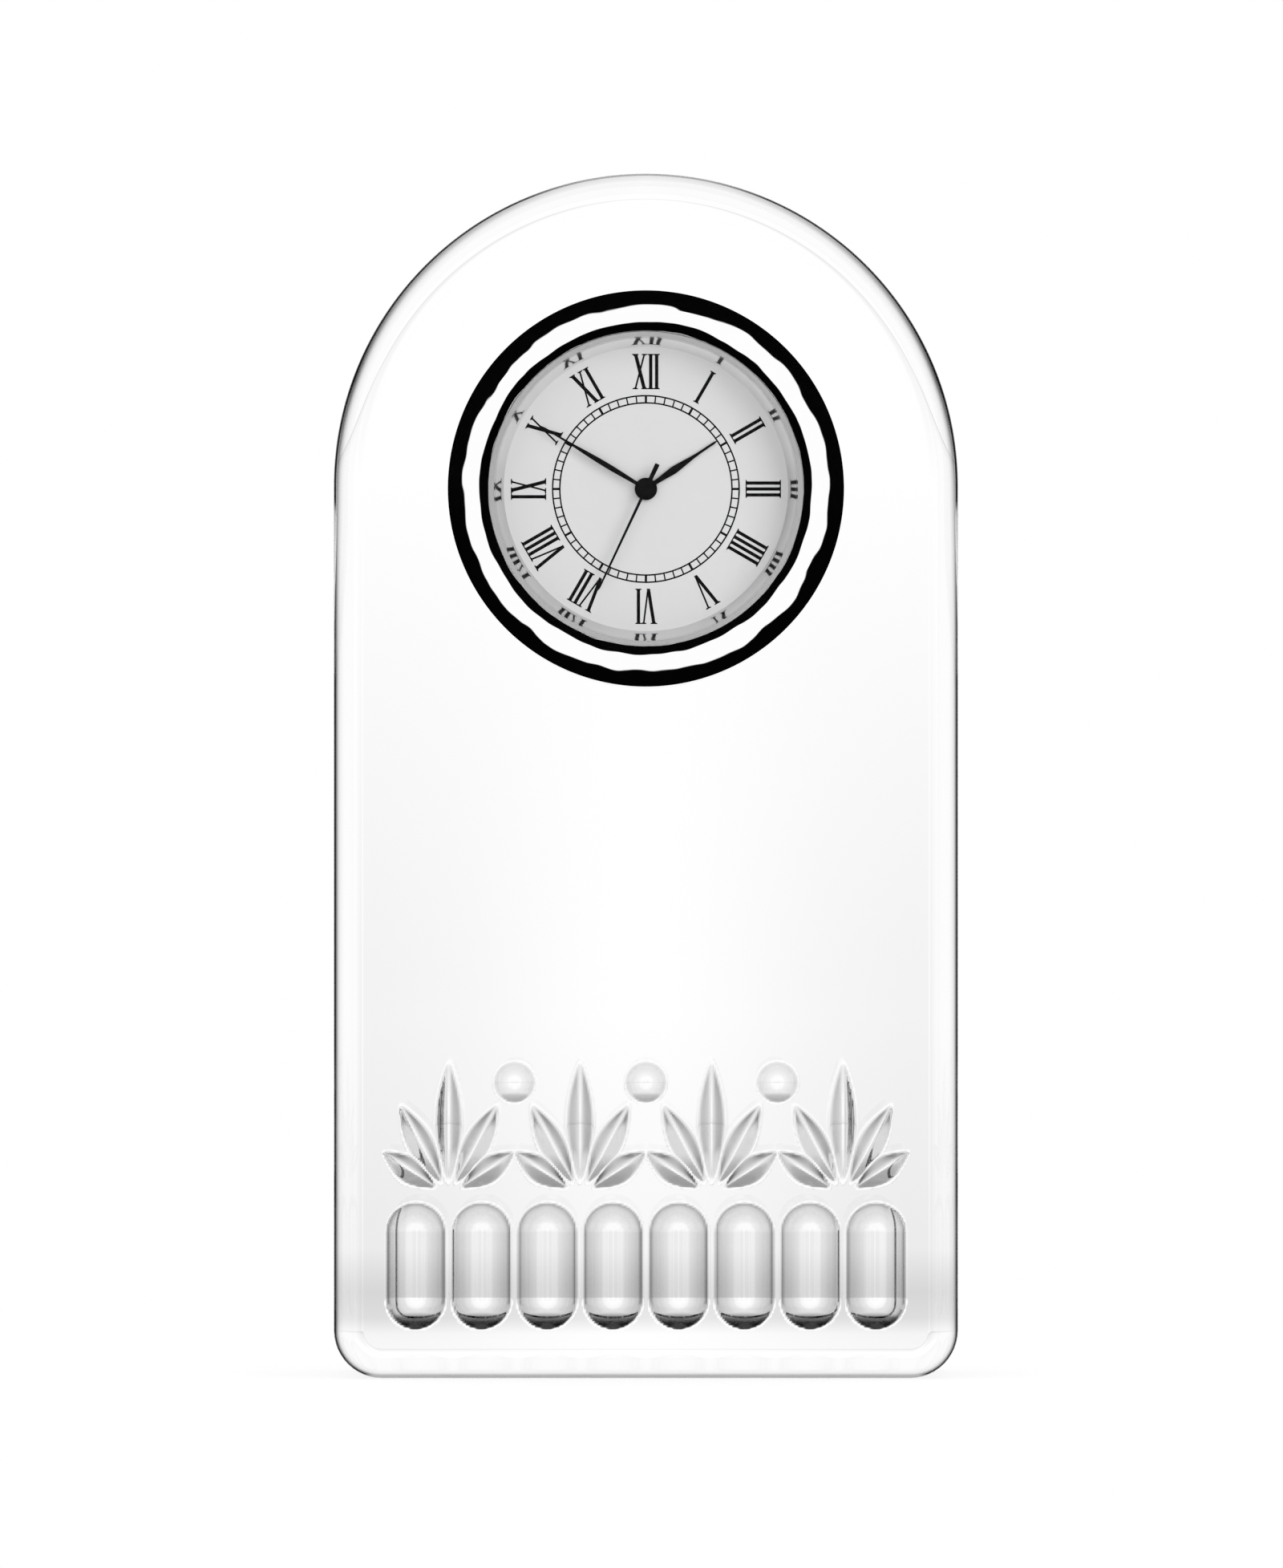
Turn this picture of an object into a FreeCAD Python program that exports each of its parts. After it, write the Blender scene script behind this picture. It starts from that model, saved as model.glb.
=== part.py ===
import math
import os

import FreeCAD
import Part

os.makedirs("parts", exist_ok=True)

# All sizes are in millimetres. X runs to the right of the dial, Z runs up, and the dial looks along -Y.
# The origin is the centre of the flat base of the crystal block.

# Crystal block
BLOCK_WIDTH = 92.3
BLOCK_HEIGHT = 178.0
BLOCK_DEPTH = 38.0
ARCH_RADIUS = BLOCK_WIDTH / 2
FOOT_CORNER_RADIUS = 7.1
FRONT_EDGE_RADIUS = 4.5
BACK_EDGE_RADIUS = 2.0
BORE_CHAMFER = 0.5
ARCH_Z = BLOCK_HEIGHT - ARCH_RADIUS
BORE_DROP = 0.5
DIAL_Z = ARCH_Z - BORE_DROP
FACE_Y = -BLOCK_DEPTH / 2
HALF_TURN = 180.0
FULL_TURN = 360.0

# Cut band on the front of the block: a row of fans above a row of round flutes
FAN_PITCH_SHARE = 0.2102
FAN_PITCH = BLOCK_WIDTH * FAN_PITCH_SHARE
FAN_COUNT = 4
FAN_FOOT_Z = 27.0
LEAF_START = 2.5
LEAF_DEPTH = 2.7
LEAF_WIDTH = 3.2
LEAF_TURNS = (-56.0, -28.0, 0.0, 28.0, 56.0)
LEAF_LENGTHS = (9.0, 12.5, 17.0, 12.5, 9.0)
BEAD_Z = 43.8
BEAD_RADIUS = 2.9
BEAD_DEPTH = 1.7
FLUTE_COUNT = 8
FLUTE_RADIUS = 4.6
FLUTE_DEPTH = 3.0
FLUTE_LOW_Z = 7.5
FLUTE_HIGH_Z = 26.0

# The case of the insert drives every ring around it and in it
CASE_OUTER_RADIUS = 25.2
CASE_WALL = 0.6
CASE_INNER_RADIUS = CASE_OUTER_RADIUS - CASE_WALL
COLLAR_CLEARANCE = 0.06
COLLAR_WALL = 0.74
COLLAR_INNER_RADIUS = CASE_OUTER_RADIUS + COLLAR_CLEARANCE
COLLAR_OUTER_RADIUS = COLLAR_INNER_RADIUS + COLLAR_WALL
BORE_CLEARANCE = 1.0
BORE_RADIUS = COLLAR_OUTER_RADIUS + BORE_CLEARANCE
BEZEL_OVERHANG = 3.2
BEZEL_OUTER_RADIUS = COLLAR_OUTER_RADIUS + BEZEL_OVERHANG
SEAT_CLEARANCE = 0.05
LENS_SEAT_RADIUS = CASE_INNER_RADIUS - 2 * SEAT_CLEARANCE
BEZEL_LIP = 1.26
BEZEL_INNER_RADIUS = LENS_SEAT_RADIUS - BEZEL_LIP

# Depths in the insert, counted from the front face of the block: forward is negative
BEZEL_WALL_HEIGHT = 1.79
BEZEL_CROWN_RISE = 1.64
BEZEL_RIDGE_INSET = 4.05
BEZEL_INNER_RISE = 0.79
LENS_SEAT_DEPTH = -1.0
COLLAR_STEP_DEPTH = 0.6
COLLAR_BACK = 3.2

LENS_RADIUS = LENS_SEAT_RADIUS - SEAT_CLEARANCE
LENS_BACK = 0.2
LENS_RISE = 0.6
LENS_LEDGE_MARGIN = 0.14
LENS_BEVEL_WIDTH = 0.8
LENS_LEDGE_RADIUS = BEZEL_INNER_RADIUS - LENS_LEDGE_MARGIN
LENS_TABLE_RADIUS = LENS_LEDGE_RADIUS - LENS_BEVEL_WIDTH

GASKET_RADIUS = LENS_SEAT_RADIUS - 2 * SEAT_CLEARANCE
GASKET_WIDTH = 1.1
GASKET_THICKNESS = 0.3

RING_CONE_WIDTH = 1.3
RING_OUTER_RADIUS = LENS_RADIUS
RING_FRONT_BORE = LENS_TABLE_RADIUS
RING_BACK_BORE = RING_FRONT_BORE - RING_CONE_WIDTH
RING_FRONT = LENS_BACK + GASKET_THICKNESS
RING_BACK = 2.4

DIAL_RADIUS = LENS_RADIUS
DIAL_THICKNESS = 0.4
DIAL_BORE = 1.45
DIAL_FOOT_RADIUS = 0.5
DIAL_FOOT_LENGTH = 1.6
DIAL_FOOT_MARGIN = 4.45
DIAL_FOOT_RING_RADIUS = DIAL_RADIUS - DIAL_FOOT_MARGIN
DIAL_FOOT_TURNS = (100.0, 280.0)
DIAL_FRONT = RING_BACK
DIAL_BACK = DIAL_FRONT + DIAL_THICKNESS

# Hands: stations along each hand as shares of its length, (distance from the centre, half width)
HOUR_LENGTH_SHARE = 0.519
MINUTE_LENGTH_SHARE = 0.740
SECONDS_LENGTH_SHARE = 0.675
HOUR_LENGTH = DIAL_RADIUS * HOUR_LENGTH_SHARE
MINUTE_LENGTH = DIAL_RADIUS * MINUTE_LENGTH_SHARE
SECONDS_LENGTH = DIAL_RADIUS * SECONDS_LENGTH_SHARE
HOUR_SHARES = (
    (0.08, 0.025), (0.19, 0.028), (0.28, 0.036), (0.385, 0.045), (0.465, 0.039), (0.56, 0.030),
    (0.65, 0.021), (0.75, 0.015), (0.84, 0.014), (0.96, 0.013), (1.0, 0.004),
)
MINUTE_SHARES = (
    (0.055, 0.0142), (0.13, 0.0160), (0.20, 0.0186), (0.26, 0.0200), (0.325, 0.0217),
    (0.39, 0.0218), (0.46, 0.0208), (0.525, 0.0186), (0.59, 0.0160), (0.68, 0.0113),
    (0.80, 0.0082), (0.96, 0.0072), (1.0, 0.0022),
)
SECONDS_SHARES = (
    (-0.245, 0.018), (-0.239, 0.021), (-0.036, 0.018), (0.036, 0.0132), (0.145, 0.0126),
    (0.58, 0.0102), (0.98, 0.0078), (1.0, 0.0026),
)
HOUR_TURN = 56.0
MINUTE_TURN = 300.9
SECONDS_TURN = 205.2
HAND_THICKNESS = 0.15
HOUR_HAND_BACK = 2.0
MINUTE_HAND_BACK = 1.45
SECONDS_HAND_BACK = 0.87
HOUR_HUB_RADIUS = 1.66
MINUTE_HUB_RADIUS = 1.45
SECONDS_HUB_RADIUS = 0.95
SECONDS_HUB_HEIGHT = 0.35
SEAT_LENGTH = 0.25
PRESS_CLEARANCE = 0.01
RUN_CLEARANCE = 0.05

# Back of the case, friction band and holder
CASE_BACK = 15.6
COVER_THICKNESS = 1.0
COVER_BACK = CASE_BACK + COVER_THICKNESS
BAND_INNER_RADIUS = CASE_OUTER_RADIUS + SEAT_CLEARANCE
BAND_OUTER_RADIUS = BORE_RADIUS - SEAT_CLEARANCE
BAND_RIB_HEIGHT = 0.6
BAND_VALLEY_RADIUS = BAND_OUTER_RADIUS - BAND_RIB_HEIGHT
BAND_FRONT = 4.2
BAND_RIB_PITCH = 1.6
BAND_RIB_COUNT = 5

PLATE_RADIUS = 17.0
PLATE_SEAT_CLEARANCE = 0.1
HOLDER_LEDGE_WIDTH = 1.7
HOLDER_OUTER_RADIUS = CASE_INNER_RADIUS - 2 * SEAT_CLEARANCE
HOLDER_BORE = PLATE_RADIUS + PLATE_SEAT_CLEARANCE
HOLDER_LEDGE_RADIUS = HOLDER_BORE - HOLDER_LEDGE_WIDTH
HOLDER_BACK = 11.0
BOSS_RADIUS = 2.4
BOSS_MARGIN = 0.3
BOSS_RING_RADIUS = HOLDER_OUTER_RADIUS - BOSS_RADIUS - BOSS_MARGIN
BOSS_TURNS = (110.0, 230.0, 350.0)
CASE_SCREW_RADIUS = 0.8
CASE_SCREW_HEAD_RADIUS = 1.5
CASE_SCREW_HEAD_HEIGHT = 0.7
CASE_SCREW_LENGTH = 5.0
SCREW_SLOT_WIDTH = 0.4
SCREW_SLOT_DEPTH = 0.35

# Movement plates
PLATE_THICKNESS = 0.8
PLATE_FRONT = 5.0
PLATE_BACK = PLATE_FRONT + PLATE_THICKNESS
BRIDGE_RADIUS = PLATE_RADIUS - PLATE_SEAT_CLEARANCE
BRIDGE_FRONT = 9.8
BRIDGE_BACK = BRIDGE_FRONT + PLATE_THICKNESS
PILLAR_RADIUS = 1.1
PILLARS = ((-13.2, 6.0), (12.9, 5.6), (-13.4, -6.6), (13.6, -6.0))
BRIDGE_SCREW_RADIUS = 0.5
BRIDGE_SCREW_HEAD_RADIUS = 1.0
BRIDGE_SCREW_HEAD_HEIGHT = 0.5
BRIDGE_SCREW_LENGTH = 3.0
COIL_WINDOW = (-7.4, 7.4, -12.9, -8.1)

# Gear train: teeth and modules
ROTOR_PINION_TEETH = 8
FIFTH_WHEEL_TEETH = 48
FIFTH_PINION_TEETH = 8
SECONDS_WHEEL_TEETH = 40
SECONDS_PINION_TEETH = 8
THIRD_WHEEL_TEETH = 60
THIRD_PINION_TEETH = 8
CENTRE_WHEEL_TEETH = 64
CANNON_PINION_TEETH = 10
MINUTE_WHEEL_TEETH = 30
MINUTE_PINION_TEETH = 8
HOUR_WHEEL_TEETH = 32
SET_PINION_TEETH = 10

ROTOR_MODULE = 0.15
SECONDS_MODULE = 0.26
THIRD_MODULE = 0.18
CENTRE_MODULE = 0.17
MOTION_MODULE = 0.22

ADDENDUM_SHARE = 0.75
DEDENDUM_SHARE = 1.15
TIP_WIDTH_SHARE = 0.20
ROOT_WIDTH_SHARE = 0.52

THIRD_DISTANCE = THIRD_MODULE * (SECONDS_PINION_TEETH + THIRD_WHEEL_TEETH) / 2
FIFTH_DISTANCE = SECONDS_MODULE * (FIFTH_PINION_TEETH + SECONDS_WHEEL_TEETH) / 2
ROTOR_DISTANCE = ROTOR_MODULE * (ROTOR_PINION_TEETH + FIFTH_WHEEL_TEETH) / 2
MOTION_DISTANCE = MOTION_MODULE * (CANNON_PINION_TEETH + MINUTE_WHEEL_TEETH) / 2
THIRD_TURN = 150.0
FIFTH_TURN = -10.0
ROTOR_TURN = -80.0
MOTION_TURN = 195.0

# Depth ranges of the wheels, as (front, back)
HOUR_WHEEL_DEPTHS = (3.1, 3.55)
MINUTE_PINION_DEPTHS = (3.05, 3.8)
MINUTE_WHEEL_DEPTHS = (3.8, 4.25)
CANNON_PINION_DEPTHS = (3.75, 4.35)
SET_PINION_DEPTHS = (3.7, 4.35)
THIRD_PINION_DEPTHS = (6.05, 6.9)
CENTRE_WHEEL_DEPTHS = (6.15, 6.6)
THIRD_WHEEL_DEPTHS = (6.9, 7.35)
SECONDS_PINION_DEPTHS = (6.8, 7.7)
SECONDS_WHEEL_DEPTHS = (7.7, 8.15)
FIFTH_PINION_DEPTHS = (7.6, 8.7)
FIFTH_WHEEL_DEPTHS = (8.7, 9.15)
ROTOR_PINION_DEPTHS = (8.5, 9.3)

ARBOR_RADIUS = 0.30
PIVOT_RADIUS = 0.18
PIVOT_DEPTH = 0.5
CANNON_RADIUS = 0.70
CANNON_BORE = 0.36
CANNON_BACK = 6.75
CENTRE_SEAT_RADIUS = 0.55
PIPE_RADIUS = 1.15
PIPE_BORE = 0.78
POST_RADIUS = 0.30
POST_TIP = 3.0
PLATE_CANNON_BORE = 0.78

# Setting knob at the back
SET_SHAFT_RADIUS = 0.7
SET_BOSS_RADIUS = 1.2
SET_TIP = 3.2
KNOB_RIBS = 20
KNOB_MODULE = 0.34
KNOB_FRONT = 17.0
KNOB_BACK = 20.0
KNOB_BORE = 0.71
KNOB_SEAT_DEPTH = 2.0
COVER_KNOB_BORE = 1.3

# Step motor
MAGNET_RADIUS = 1.6
MAGNET_DEPTHS = (6.3, 7.9)
STATOR_DEPTHS = (6.7, 7.5)
STATOR_HOLE_RADIUS = 2.0
STATOR_OUTLINE = (
    (-11.0, -12.0), (-7.6, -12.0), (-7.6, -7.6), (7.6, -7.6), (7.6, -12.0), (11.0, -12.0),
    (11.0, -4.4), (9.4, -2.6), (4.6, -2.6), (3.2, -3.9), (-11.0, -3.9),
)
CORE_DEPTHS = (7.5, 8.3)
CORE_HALF_LENGTH = 11.0
CORE_HALF_HEIGHT = 1.1
COIL_Z = -10.5
COIL_RADIUS = 1.75
COIL_HALF_LENGTH = 6.2
COIL_BORE_CLEARANCE = 0.05
FLANGE_SIZE = 2.1
FLANGE_DEPTH_SIZE = 1.8
FLANGE_THICKNESS = 0.8

# Battery, contacts and circuit
BATTERY_X = 6.5
BATTERY_Z = 8.5
BATTERY_RADIUS = 5.8
BATTERY_STEP_RADIUS = 4.9
BATTERY_HEIGHT = 3.1
BATTERY_STEP = 0.4
CONTACT_THICKNESS = 0.2
CONTACT_WIDTH = 3.0
BOARD_THICKNESS = 0.6
BOARD_OUTLINE = ((-5.4, -3.0), (12.4, -3.0), (11.6, -8.4), (7.4, -13.0), (-5.4, -13.4))
CHIP_BOX = (-1.6, 1.8, -8.2, -4.8)
CHIP_HEIGHT = 1.0
QUARTZ_RADIUS = 1.0
QUARTZ_LENGTH = 6.0
QUARTZ_X = 3.6
QUARTZ_Z = -10.6
CLIP_REACH_Z = -5.2
HATCH_BORE = 7.0
HATCH_PLUG_RADIUS = 6.9
HATCH_FLANGE_RADIUS = 7.9
HATCH_FLANGE_HEIGHT = 0.7
HATCH_SLOT_LENGTH = 9.0
HATCH_SLOT_WIDTH = 1.4
HATCH_SLOT_DEPTH = 0.45


def vector(x, y, z):
    return FreeCAD.Vector(x, y, z)


def disc(radius, front, back, x=0.0, z=0.0):
    """A round piece along Y, between two depths counted from the front face of the block."""
    base = vector(x, FACE_Y + front, DIAL_Z + z)
    return Part.makeCylinder(radius, back - front, base, vector(0, 1, 0))


def tube(outer, inner, front, back, x=0.0, z=0.0):
    return disc(outer, front, back, x, z).cut(disc(inner, front, back, x, z))


def plate(outline, front, back):
    """A flat piece from points (x, z) about the centre of the dial."""
    points = [vector(x, FACE_Y + front, DIAL_Z + z) for x, z in outline]
    wire = Part.makePolygon(points + points[:1])
    return Part.Face(wire).extrude(vector(0, back - front, 0))


def box(left, right, low, high, front, back):
    return plate(((left, low), (right, low), (right, high), (left, high)), front, back)


def turned(edges):
    """A ring about the axis of the dial from edges drawn in the plane of X and Y."""
    face = Part.Face(Part.Wire(Part.__sortEdges__(edges)))
    ring = face.revolve(vector(0, 0, 0), vector(0, 1, 0), FULL_TURN)
    ring.translate(vector(0, FACE_Y, DIAL_Z))
    return ring


def turned_polygon(points):
    corners = [vector(radius, depth, 0) for radius, depth in points]
    closed = corners + corners[:1]
    return turned([Part.makeLine(a, b) for a, b in zip(closed, closed[1:])])


def polar(distance, degrees):
    """Offset (x, z) at an angle counted from +X towards +Z."""
    turn = math.radians(degrees)
    return distance * math.cos(turn), distance * math.sin(turn)


def gear(teeth, module, depths, place, toward, tooth_there):
    """A straight-sided gear. toward is the direction of its mate, where a tooth or a gap stands."""
    pitch = math.pi * module
    pitch_radius = module * teeth / 2
    tip = pitch_radius + ADDENDUM_SHARE * module
    root = pitch_radius - DEDENDUM_SHARE * module
    tip_turn = TIP_WIDTH_SHARE * pitch / 2 / tip
    root_turn = ROOT_WIDTH_SHARE * pitch / 2 / root
    start = math.radians(toward) + (0 if tooth_there else math.pi / teeth)
    outline = []
    for number in range(teeth):
        middle = start + 2 * math.pi * number / teeth
        corners = ((root, -root_turn), (tip, -tip_turn), (tip, tip_turn), (root, root_turn))
        for radius, turn in corners:
            x = place[0] + radius * math.cos(middle + turn)
            z = place[1] + radius * math.sin(middle + turn)
            outline.append((x, z))
    return plate(outline, depths[0], depths[1])


def hand(length, shares, clock_turn, front, back):
    """A flat hand from its half widths, turned clockwise from twelve."""
    right = [(half * length, along * length) for along, half in shares]
    left = [(-half * length, along * length) for along, half in reversed(shares)]
    turn = math.radians(clock_turn)
    outline = []
    for across, along in right + left:
        x = across * math.cos(turn) + along * math.sin(turn)
        z = along * math.cos(turn) - across * math.sin(turn)
        outline.append((x, z))
    return plate(outline, front, back)


def export(name, *solids):
    shape = solids[0] if len(solids) == 1 else Part.makeCompound(list(solids))
    shape.exportStep("parts/" + name + ".step")


def leaf_cut(x, z, turn, length):
    """The bite of a wheel with a V edge, which leaves a pointed leaf on the front face."""
    wheel = (length**2 / 4 + LEAF_DEPTH**2) / (2 * LEAF_DEPTH)
    side = wheel * LEAF_WIDTH / 2 / LEAF_DEPTH
    direction = math.radians(turn)
    axle = vector(math.cos(direction), 0, -math.sin(direction))
    middle = LEAF_START + length / 2
    centre_x = x + middle * math.sin(direction)
    centre_z = z + middle * math.cos(direction)
    centre = vector(centre_x, FACE_Y - wheel + LEAF_DEPTH, centre_z)
    one = Part.makeCone(wheel, 0, side, centre, axle)
    other = Part.makeCone(wheel, 0, side, centre, axle.negative())
    return one.fuse(other)


def flute_cut(x):
    """A round flute with rounded ends."""
    reach = math.sqrt(FLUTE_RADIUS**2 - (FLUTE_RADIUS - FLUTE_DEPTH) ** 2)
    low = FLUTE_LOW_Z + reach
    high = FLUTE_HIGH_Z - reach
    y = FACE_Y - FLUTE_RADIUS + FLUTE_DEPTH
    shaft = Part.makeCylinder(FLUTE_RADIUS, high - low, vector(x, y, low), vector(0, 0, 1))
    bottom = Part.makeSphere(FLUTE_RADIUS, vector(x, y, low))
    top = Part.makeSphere(FLUTE_RADIUS, vector(x, y, high))
    return shaft.fuse([bottom, top])


def bead_cut(x):
    ball = (BEAD_RADIUS**2 + BEAD_DEPTH**2) / (2 * BEAD_DEPTH)
    return Part.makeSphere(ball, vector(x, FACE_Y - ball + BEAD_DEPTH, BEAD_Z))


def crystal_block():
    half = BLOCK_WIDTH / 2
    corner = FOOT_CORNER_RADIUS
    inset = corner * (1 - math.sqrt(2) / 2)

    def at(x, z):
        return vector(x, FACE_Y, z)

    edges = [
        Part.makeLine(at(corner - half, 0), at(half - corner, 0)),
        Part.Arc(at(half - corner, 0), at(half - inset, inset), at(half, corner)).toShape(),
        Part.makeLine(at(half, corner), at(half, ARCH_Z)),
        Part.Arc(at(half, ARCH_Z), at(0, BLOCK_HEIGHT), at(-half, ARCH_Z)).toShape(),
        Part.makeLine(at(-half, ARCH_Z), at(-half, corner)),
        Part.Arc(at(-half, corner), at(inset - half, inset), at(corner - half, 0)).toShape(),
    ]
    block = Part.Face(Part.Wire(edges)).extrude(vector(0, BLOCK_DEPTH, 0))
    front = [e for e in block.Edges if e.BoundBox.YMax < FACE_Y / 2]
    block = block.makeFillet(FRONT_EDGE_RADIUS, front)
    back = [e for e in block.Edges if e.BoundBox.YMin > -FACE_Y - BACK_EDGE_RADIUS / 2]
    block = block.makeFillet(BACK_EDGE_RADIUS, back)
    bore = disc(BORE_RADIUS, 0, BLOCK_DEPTH)
    mouth = Part.makeCone(
        BORE_RADIUS + BORE_CHAMFER, BORE_RADIUS, BORE_CHAMFER, vector(0, FACE_Y, DIAL_Z), vector(0, 1, 0)
    )
    rear = Part.makeCone(
        BORE_RADIUS + BORE_CHAMFER, BORE_RADIUS, BORE_CHAMFER, vector(0, -FACE_Y, DIAL_Z), vector(0, -1, 0)
    )
    cuts = [bore, mouth, rear]
    for number in range(FAN_COUNT):
        x = FAN_PITCH * (number - (FAN_COUNT - 1) / 2)
        for turn, length in zip(LEAF_TURNS, LEAF_LENGTHS):
            cuts.append(leaf_cut(x, FAN_FOOT_Z, turn, length))
    for number in range(1, FAN_COUNT):
        cuts.append(bead_cut(FAN_PITCH * (number - FAN_COUNT / 2)))
    for number in range(FLUTE_COUNT):
        cuts.append(flute_cut(FAN_PITCH / 2 * (number - (FLUTE_COUNT - 1) / 2)))
    return block.cut(cuts)


def crown_arc(start, ridge):
    """The arc from a shoulder of the bezel up to its ridge, level at the ridge. Returns it from start to ridge."""
    run = start.x - ridge.x
    rise = start.y - ridge.y
    radius = (run**2 + rise**2) / (2 * rise)
    half = math.asin(run / radius) / 2
    middle = vector(ridge.x + radius * math.sin(half), ridge.y + radius * (1 - math.cos(half)), 0)
    return Part.Arc(start, middle, ridge).toShape()


def bezel():
    outer, inner = BEZEL_OUTER_RADIUS, BEZEL_INNER_RADIUS
    shoulder = -BEZEL_WALL_HEIGHT
    ridge = vector(outer - BEZEL_RIDGE_INSET, shoulder - BEZEL_CROWN_RISE, 0)
    inner_shoulder = ridge.y + BEZEL_INNER_RISE
    chain = [
        vector(inner, inner_shoulder, 0),
        vector(inner, LENS_SEAT_DEPTH, 0),
        vector(LENS_SEAT_RADIUS, LENS_SEAT_DEPTH, 0),
        vector(LENS_SEAT_RADIUS, COLLAR_STEP_DEPTH, 0),
        vector(COLLAR_INNER_RADIUS, COLLAR_STEP_DEPTH, 0),
        vector(COLLAR_INNER_RADIUS, COLLAR_BACK, 0),
        vector(COLLAR_OUTER_RADIUS, COLLAR_BACK, 0),
        vector(COLLAR_OUTER_RADIUS, 0, 0),
        vector(outer, 0, 0),
        vector(outer, shoulder, 0),
    ]
    edges = [Part.makeLine(a, b) for a, b in zip(chain, chain[1:])]
    edges.append(crown_arc(chain[-1], ridge))
    edges.append(crown_arc(chain[0], ridge))
    return turned(edges)


def screw(radius, head_radius, head_height, length, seat, x, z):
    """A slotted screw driven from the back, with its head on the depth called seat."""
    body = disc(radius, seat - length, seat, x, z).fuse(disc(head_radius, seat, seat + head_height, x, z))
    half = SCREW_SLOT_WIDTH / 2
    top = seat + head_height
    slot = box(x - head_radius, x + head_radius, z - half, z + half, top - SCREW_SLOT_DEPTH, top)
    return body.cut(slot).removeSplitter()


def arbor(front_bearing, back_bearing, place, radius=ARBOR_RADIUS):
    """A shaft between two plates, with a thinner pivot in each."""
    x, z = place
    play = RUN_CLEARANCE
    body = disc(radius, front_bearing + play, back_bearing - play, x, z)
    first = disc(PIVOT_RADIUS, front_bearing - PIVOT_DEPTH + play, front_bearing + play, x, z)
    last = disc(PIVOT_RADIUS, back_bearing - play, back_bearing + PIVOT_DEPTH - play, x, z)
    return body.fuse([first, last])


CENTRE = (0.0, 0.0)
THIRD_AT = polar(THIRD_DISTANCE, THIRD_TURN)
FIFTH_AT = polar(FIFTH_DISTANCE, FIFTH_TURN)
ROTOR_STEP = polar(ROTOR_DISTANCE, ROTOR_TURN)
ROTOR_AT = (FIFTH_AT[0] + ROTOR_STEP[0], FIFTH_AT[1] + ROTOR_STEP[1])
MOTION_AT = polar(MOTION_DISTANCE, MOTION_TURN)
SET_AT = polar(2 * MOTION_DISTANCE, MOTION_TURN)
BOSSES = [polar(BOSS_RING_RADIUS, turn) for turn in BOSS_TURNS]

# Crystal block
export("crystal_body", crystal_block())

# Front of the insert
export("bezel", bezel())
lens_front = LENS_SEAT_DEPTH - LENS_RISE
export("lens", turned_polygon((
    (0, lens_front), (LENS_TABLE_RADIUS, lens_front), (LENS_LEDGE_RADIUS, LENS_SEAT_DEPTH),
    (LENS_RADIUS, LENS_SEAT_DEPTH), (LENS_RADIUS, LENS_BACK), (0, LENS_BACK),
)))
export("lens_gasket", tube(GASKET_RADIUS, GASKET_RADIUS - GASKET_WIDTH, LENS_BACK, RING_FRONT))
export("reflector_ring", turned_polygon((
    (RING_FRONT_BORE, RING_FRONT), (RING_OUTER_RADIUS, RING_FRONT),
    (RING_OUTER_RADIUS, RING_BACK), (RING_BACK_BORE, RING_BACK),
)))
dial = tube(DIAL_RADIUS, DIAL_BORE, DIAL_FRONT, DIAL_BACK)
dial_feet = [polar(DIAL_FOOT_RING_RADIUS, turn) for turn in DIAL_FOOT_TURNS]
for x, z in dial_feet:
    dial = dial.fuse(disc(DIAL_FOOT_RADIUS, DIAL_BACK, DIAL_BACK + DIAL_FOOT_LENGTH, x, z))
export("dial", dial)

# Hands
hour_front = HOUR_HAND_BACK - HAND_THICKNESS
hour_hand = hand(HOUR_LENGTH, HOUR_SHARES, HOUR_TURN, hour_front, HOUR_HAND_BACK)
hour_hand = hour_hand.fuse(disc(HOUR_HUB_RADIUS, hour_front, HOUR_HAND_BACK))
hour_seat = (PIPE_RADIUS + PIPE_BORE) / 2
hour_bore = disc(hour_seat + PRESS_CLEARANCE, hour_front, HOUR_HAND_BACK)
export("hour_hand", hour_hand.cut(hour_bore).removeSplitter())
minute_front = MINUTE_HAND_BACK - HAND_THICKNESS
minute_hand = hand(MINUTE_LENGTH, MINUTE_SHARES, MINUTE_TURN, minute_front, MINUTE_HAND_BACK)
minute_hand = minute_hand.fuse(disc(MINUTE_HUB_RADIUS, minute_front, MINUTE_HAND_BACK))
minute_seat = (CANNON_RADIUS + CANNON_BORE) / 2
minute_bore = disc(minute_seat + PRESS_CLEARANCE, minute_front, MINUTE_HAND_BACK)
export("minute_hand", minute_hand.cut(minute_bore).removeSplitter())
seconds_front = SECONDS_HAND_BACK - HAND_THICKNESS
seconds_hand = hand(SECONDS_LENGTH, SECONDS_SHARES, SECONDS_TURN, seconds_front, SECONDS_HAND_BACK)
seconds_hub = disc(SECONDS_HUB_RADIUS, SECONDS_HAND_BACK - SECONDS_HUB_HEIGHT, SECONDS_HAND_BACK)
seconds_bore = disc(PIVOT_RADIUS + PRESS_CLEARANCE, SECONDS_HAND_BACK - SEAT_LENGTH, SECONDS_HAND_BACK)
export("seconds_hand", seconds_hand.fuse(seconds_hub).cut(seconds_bore).removeSplitter())

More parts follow.
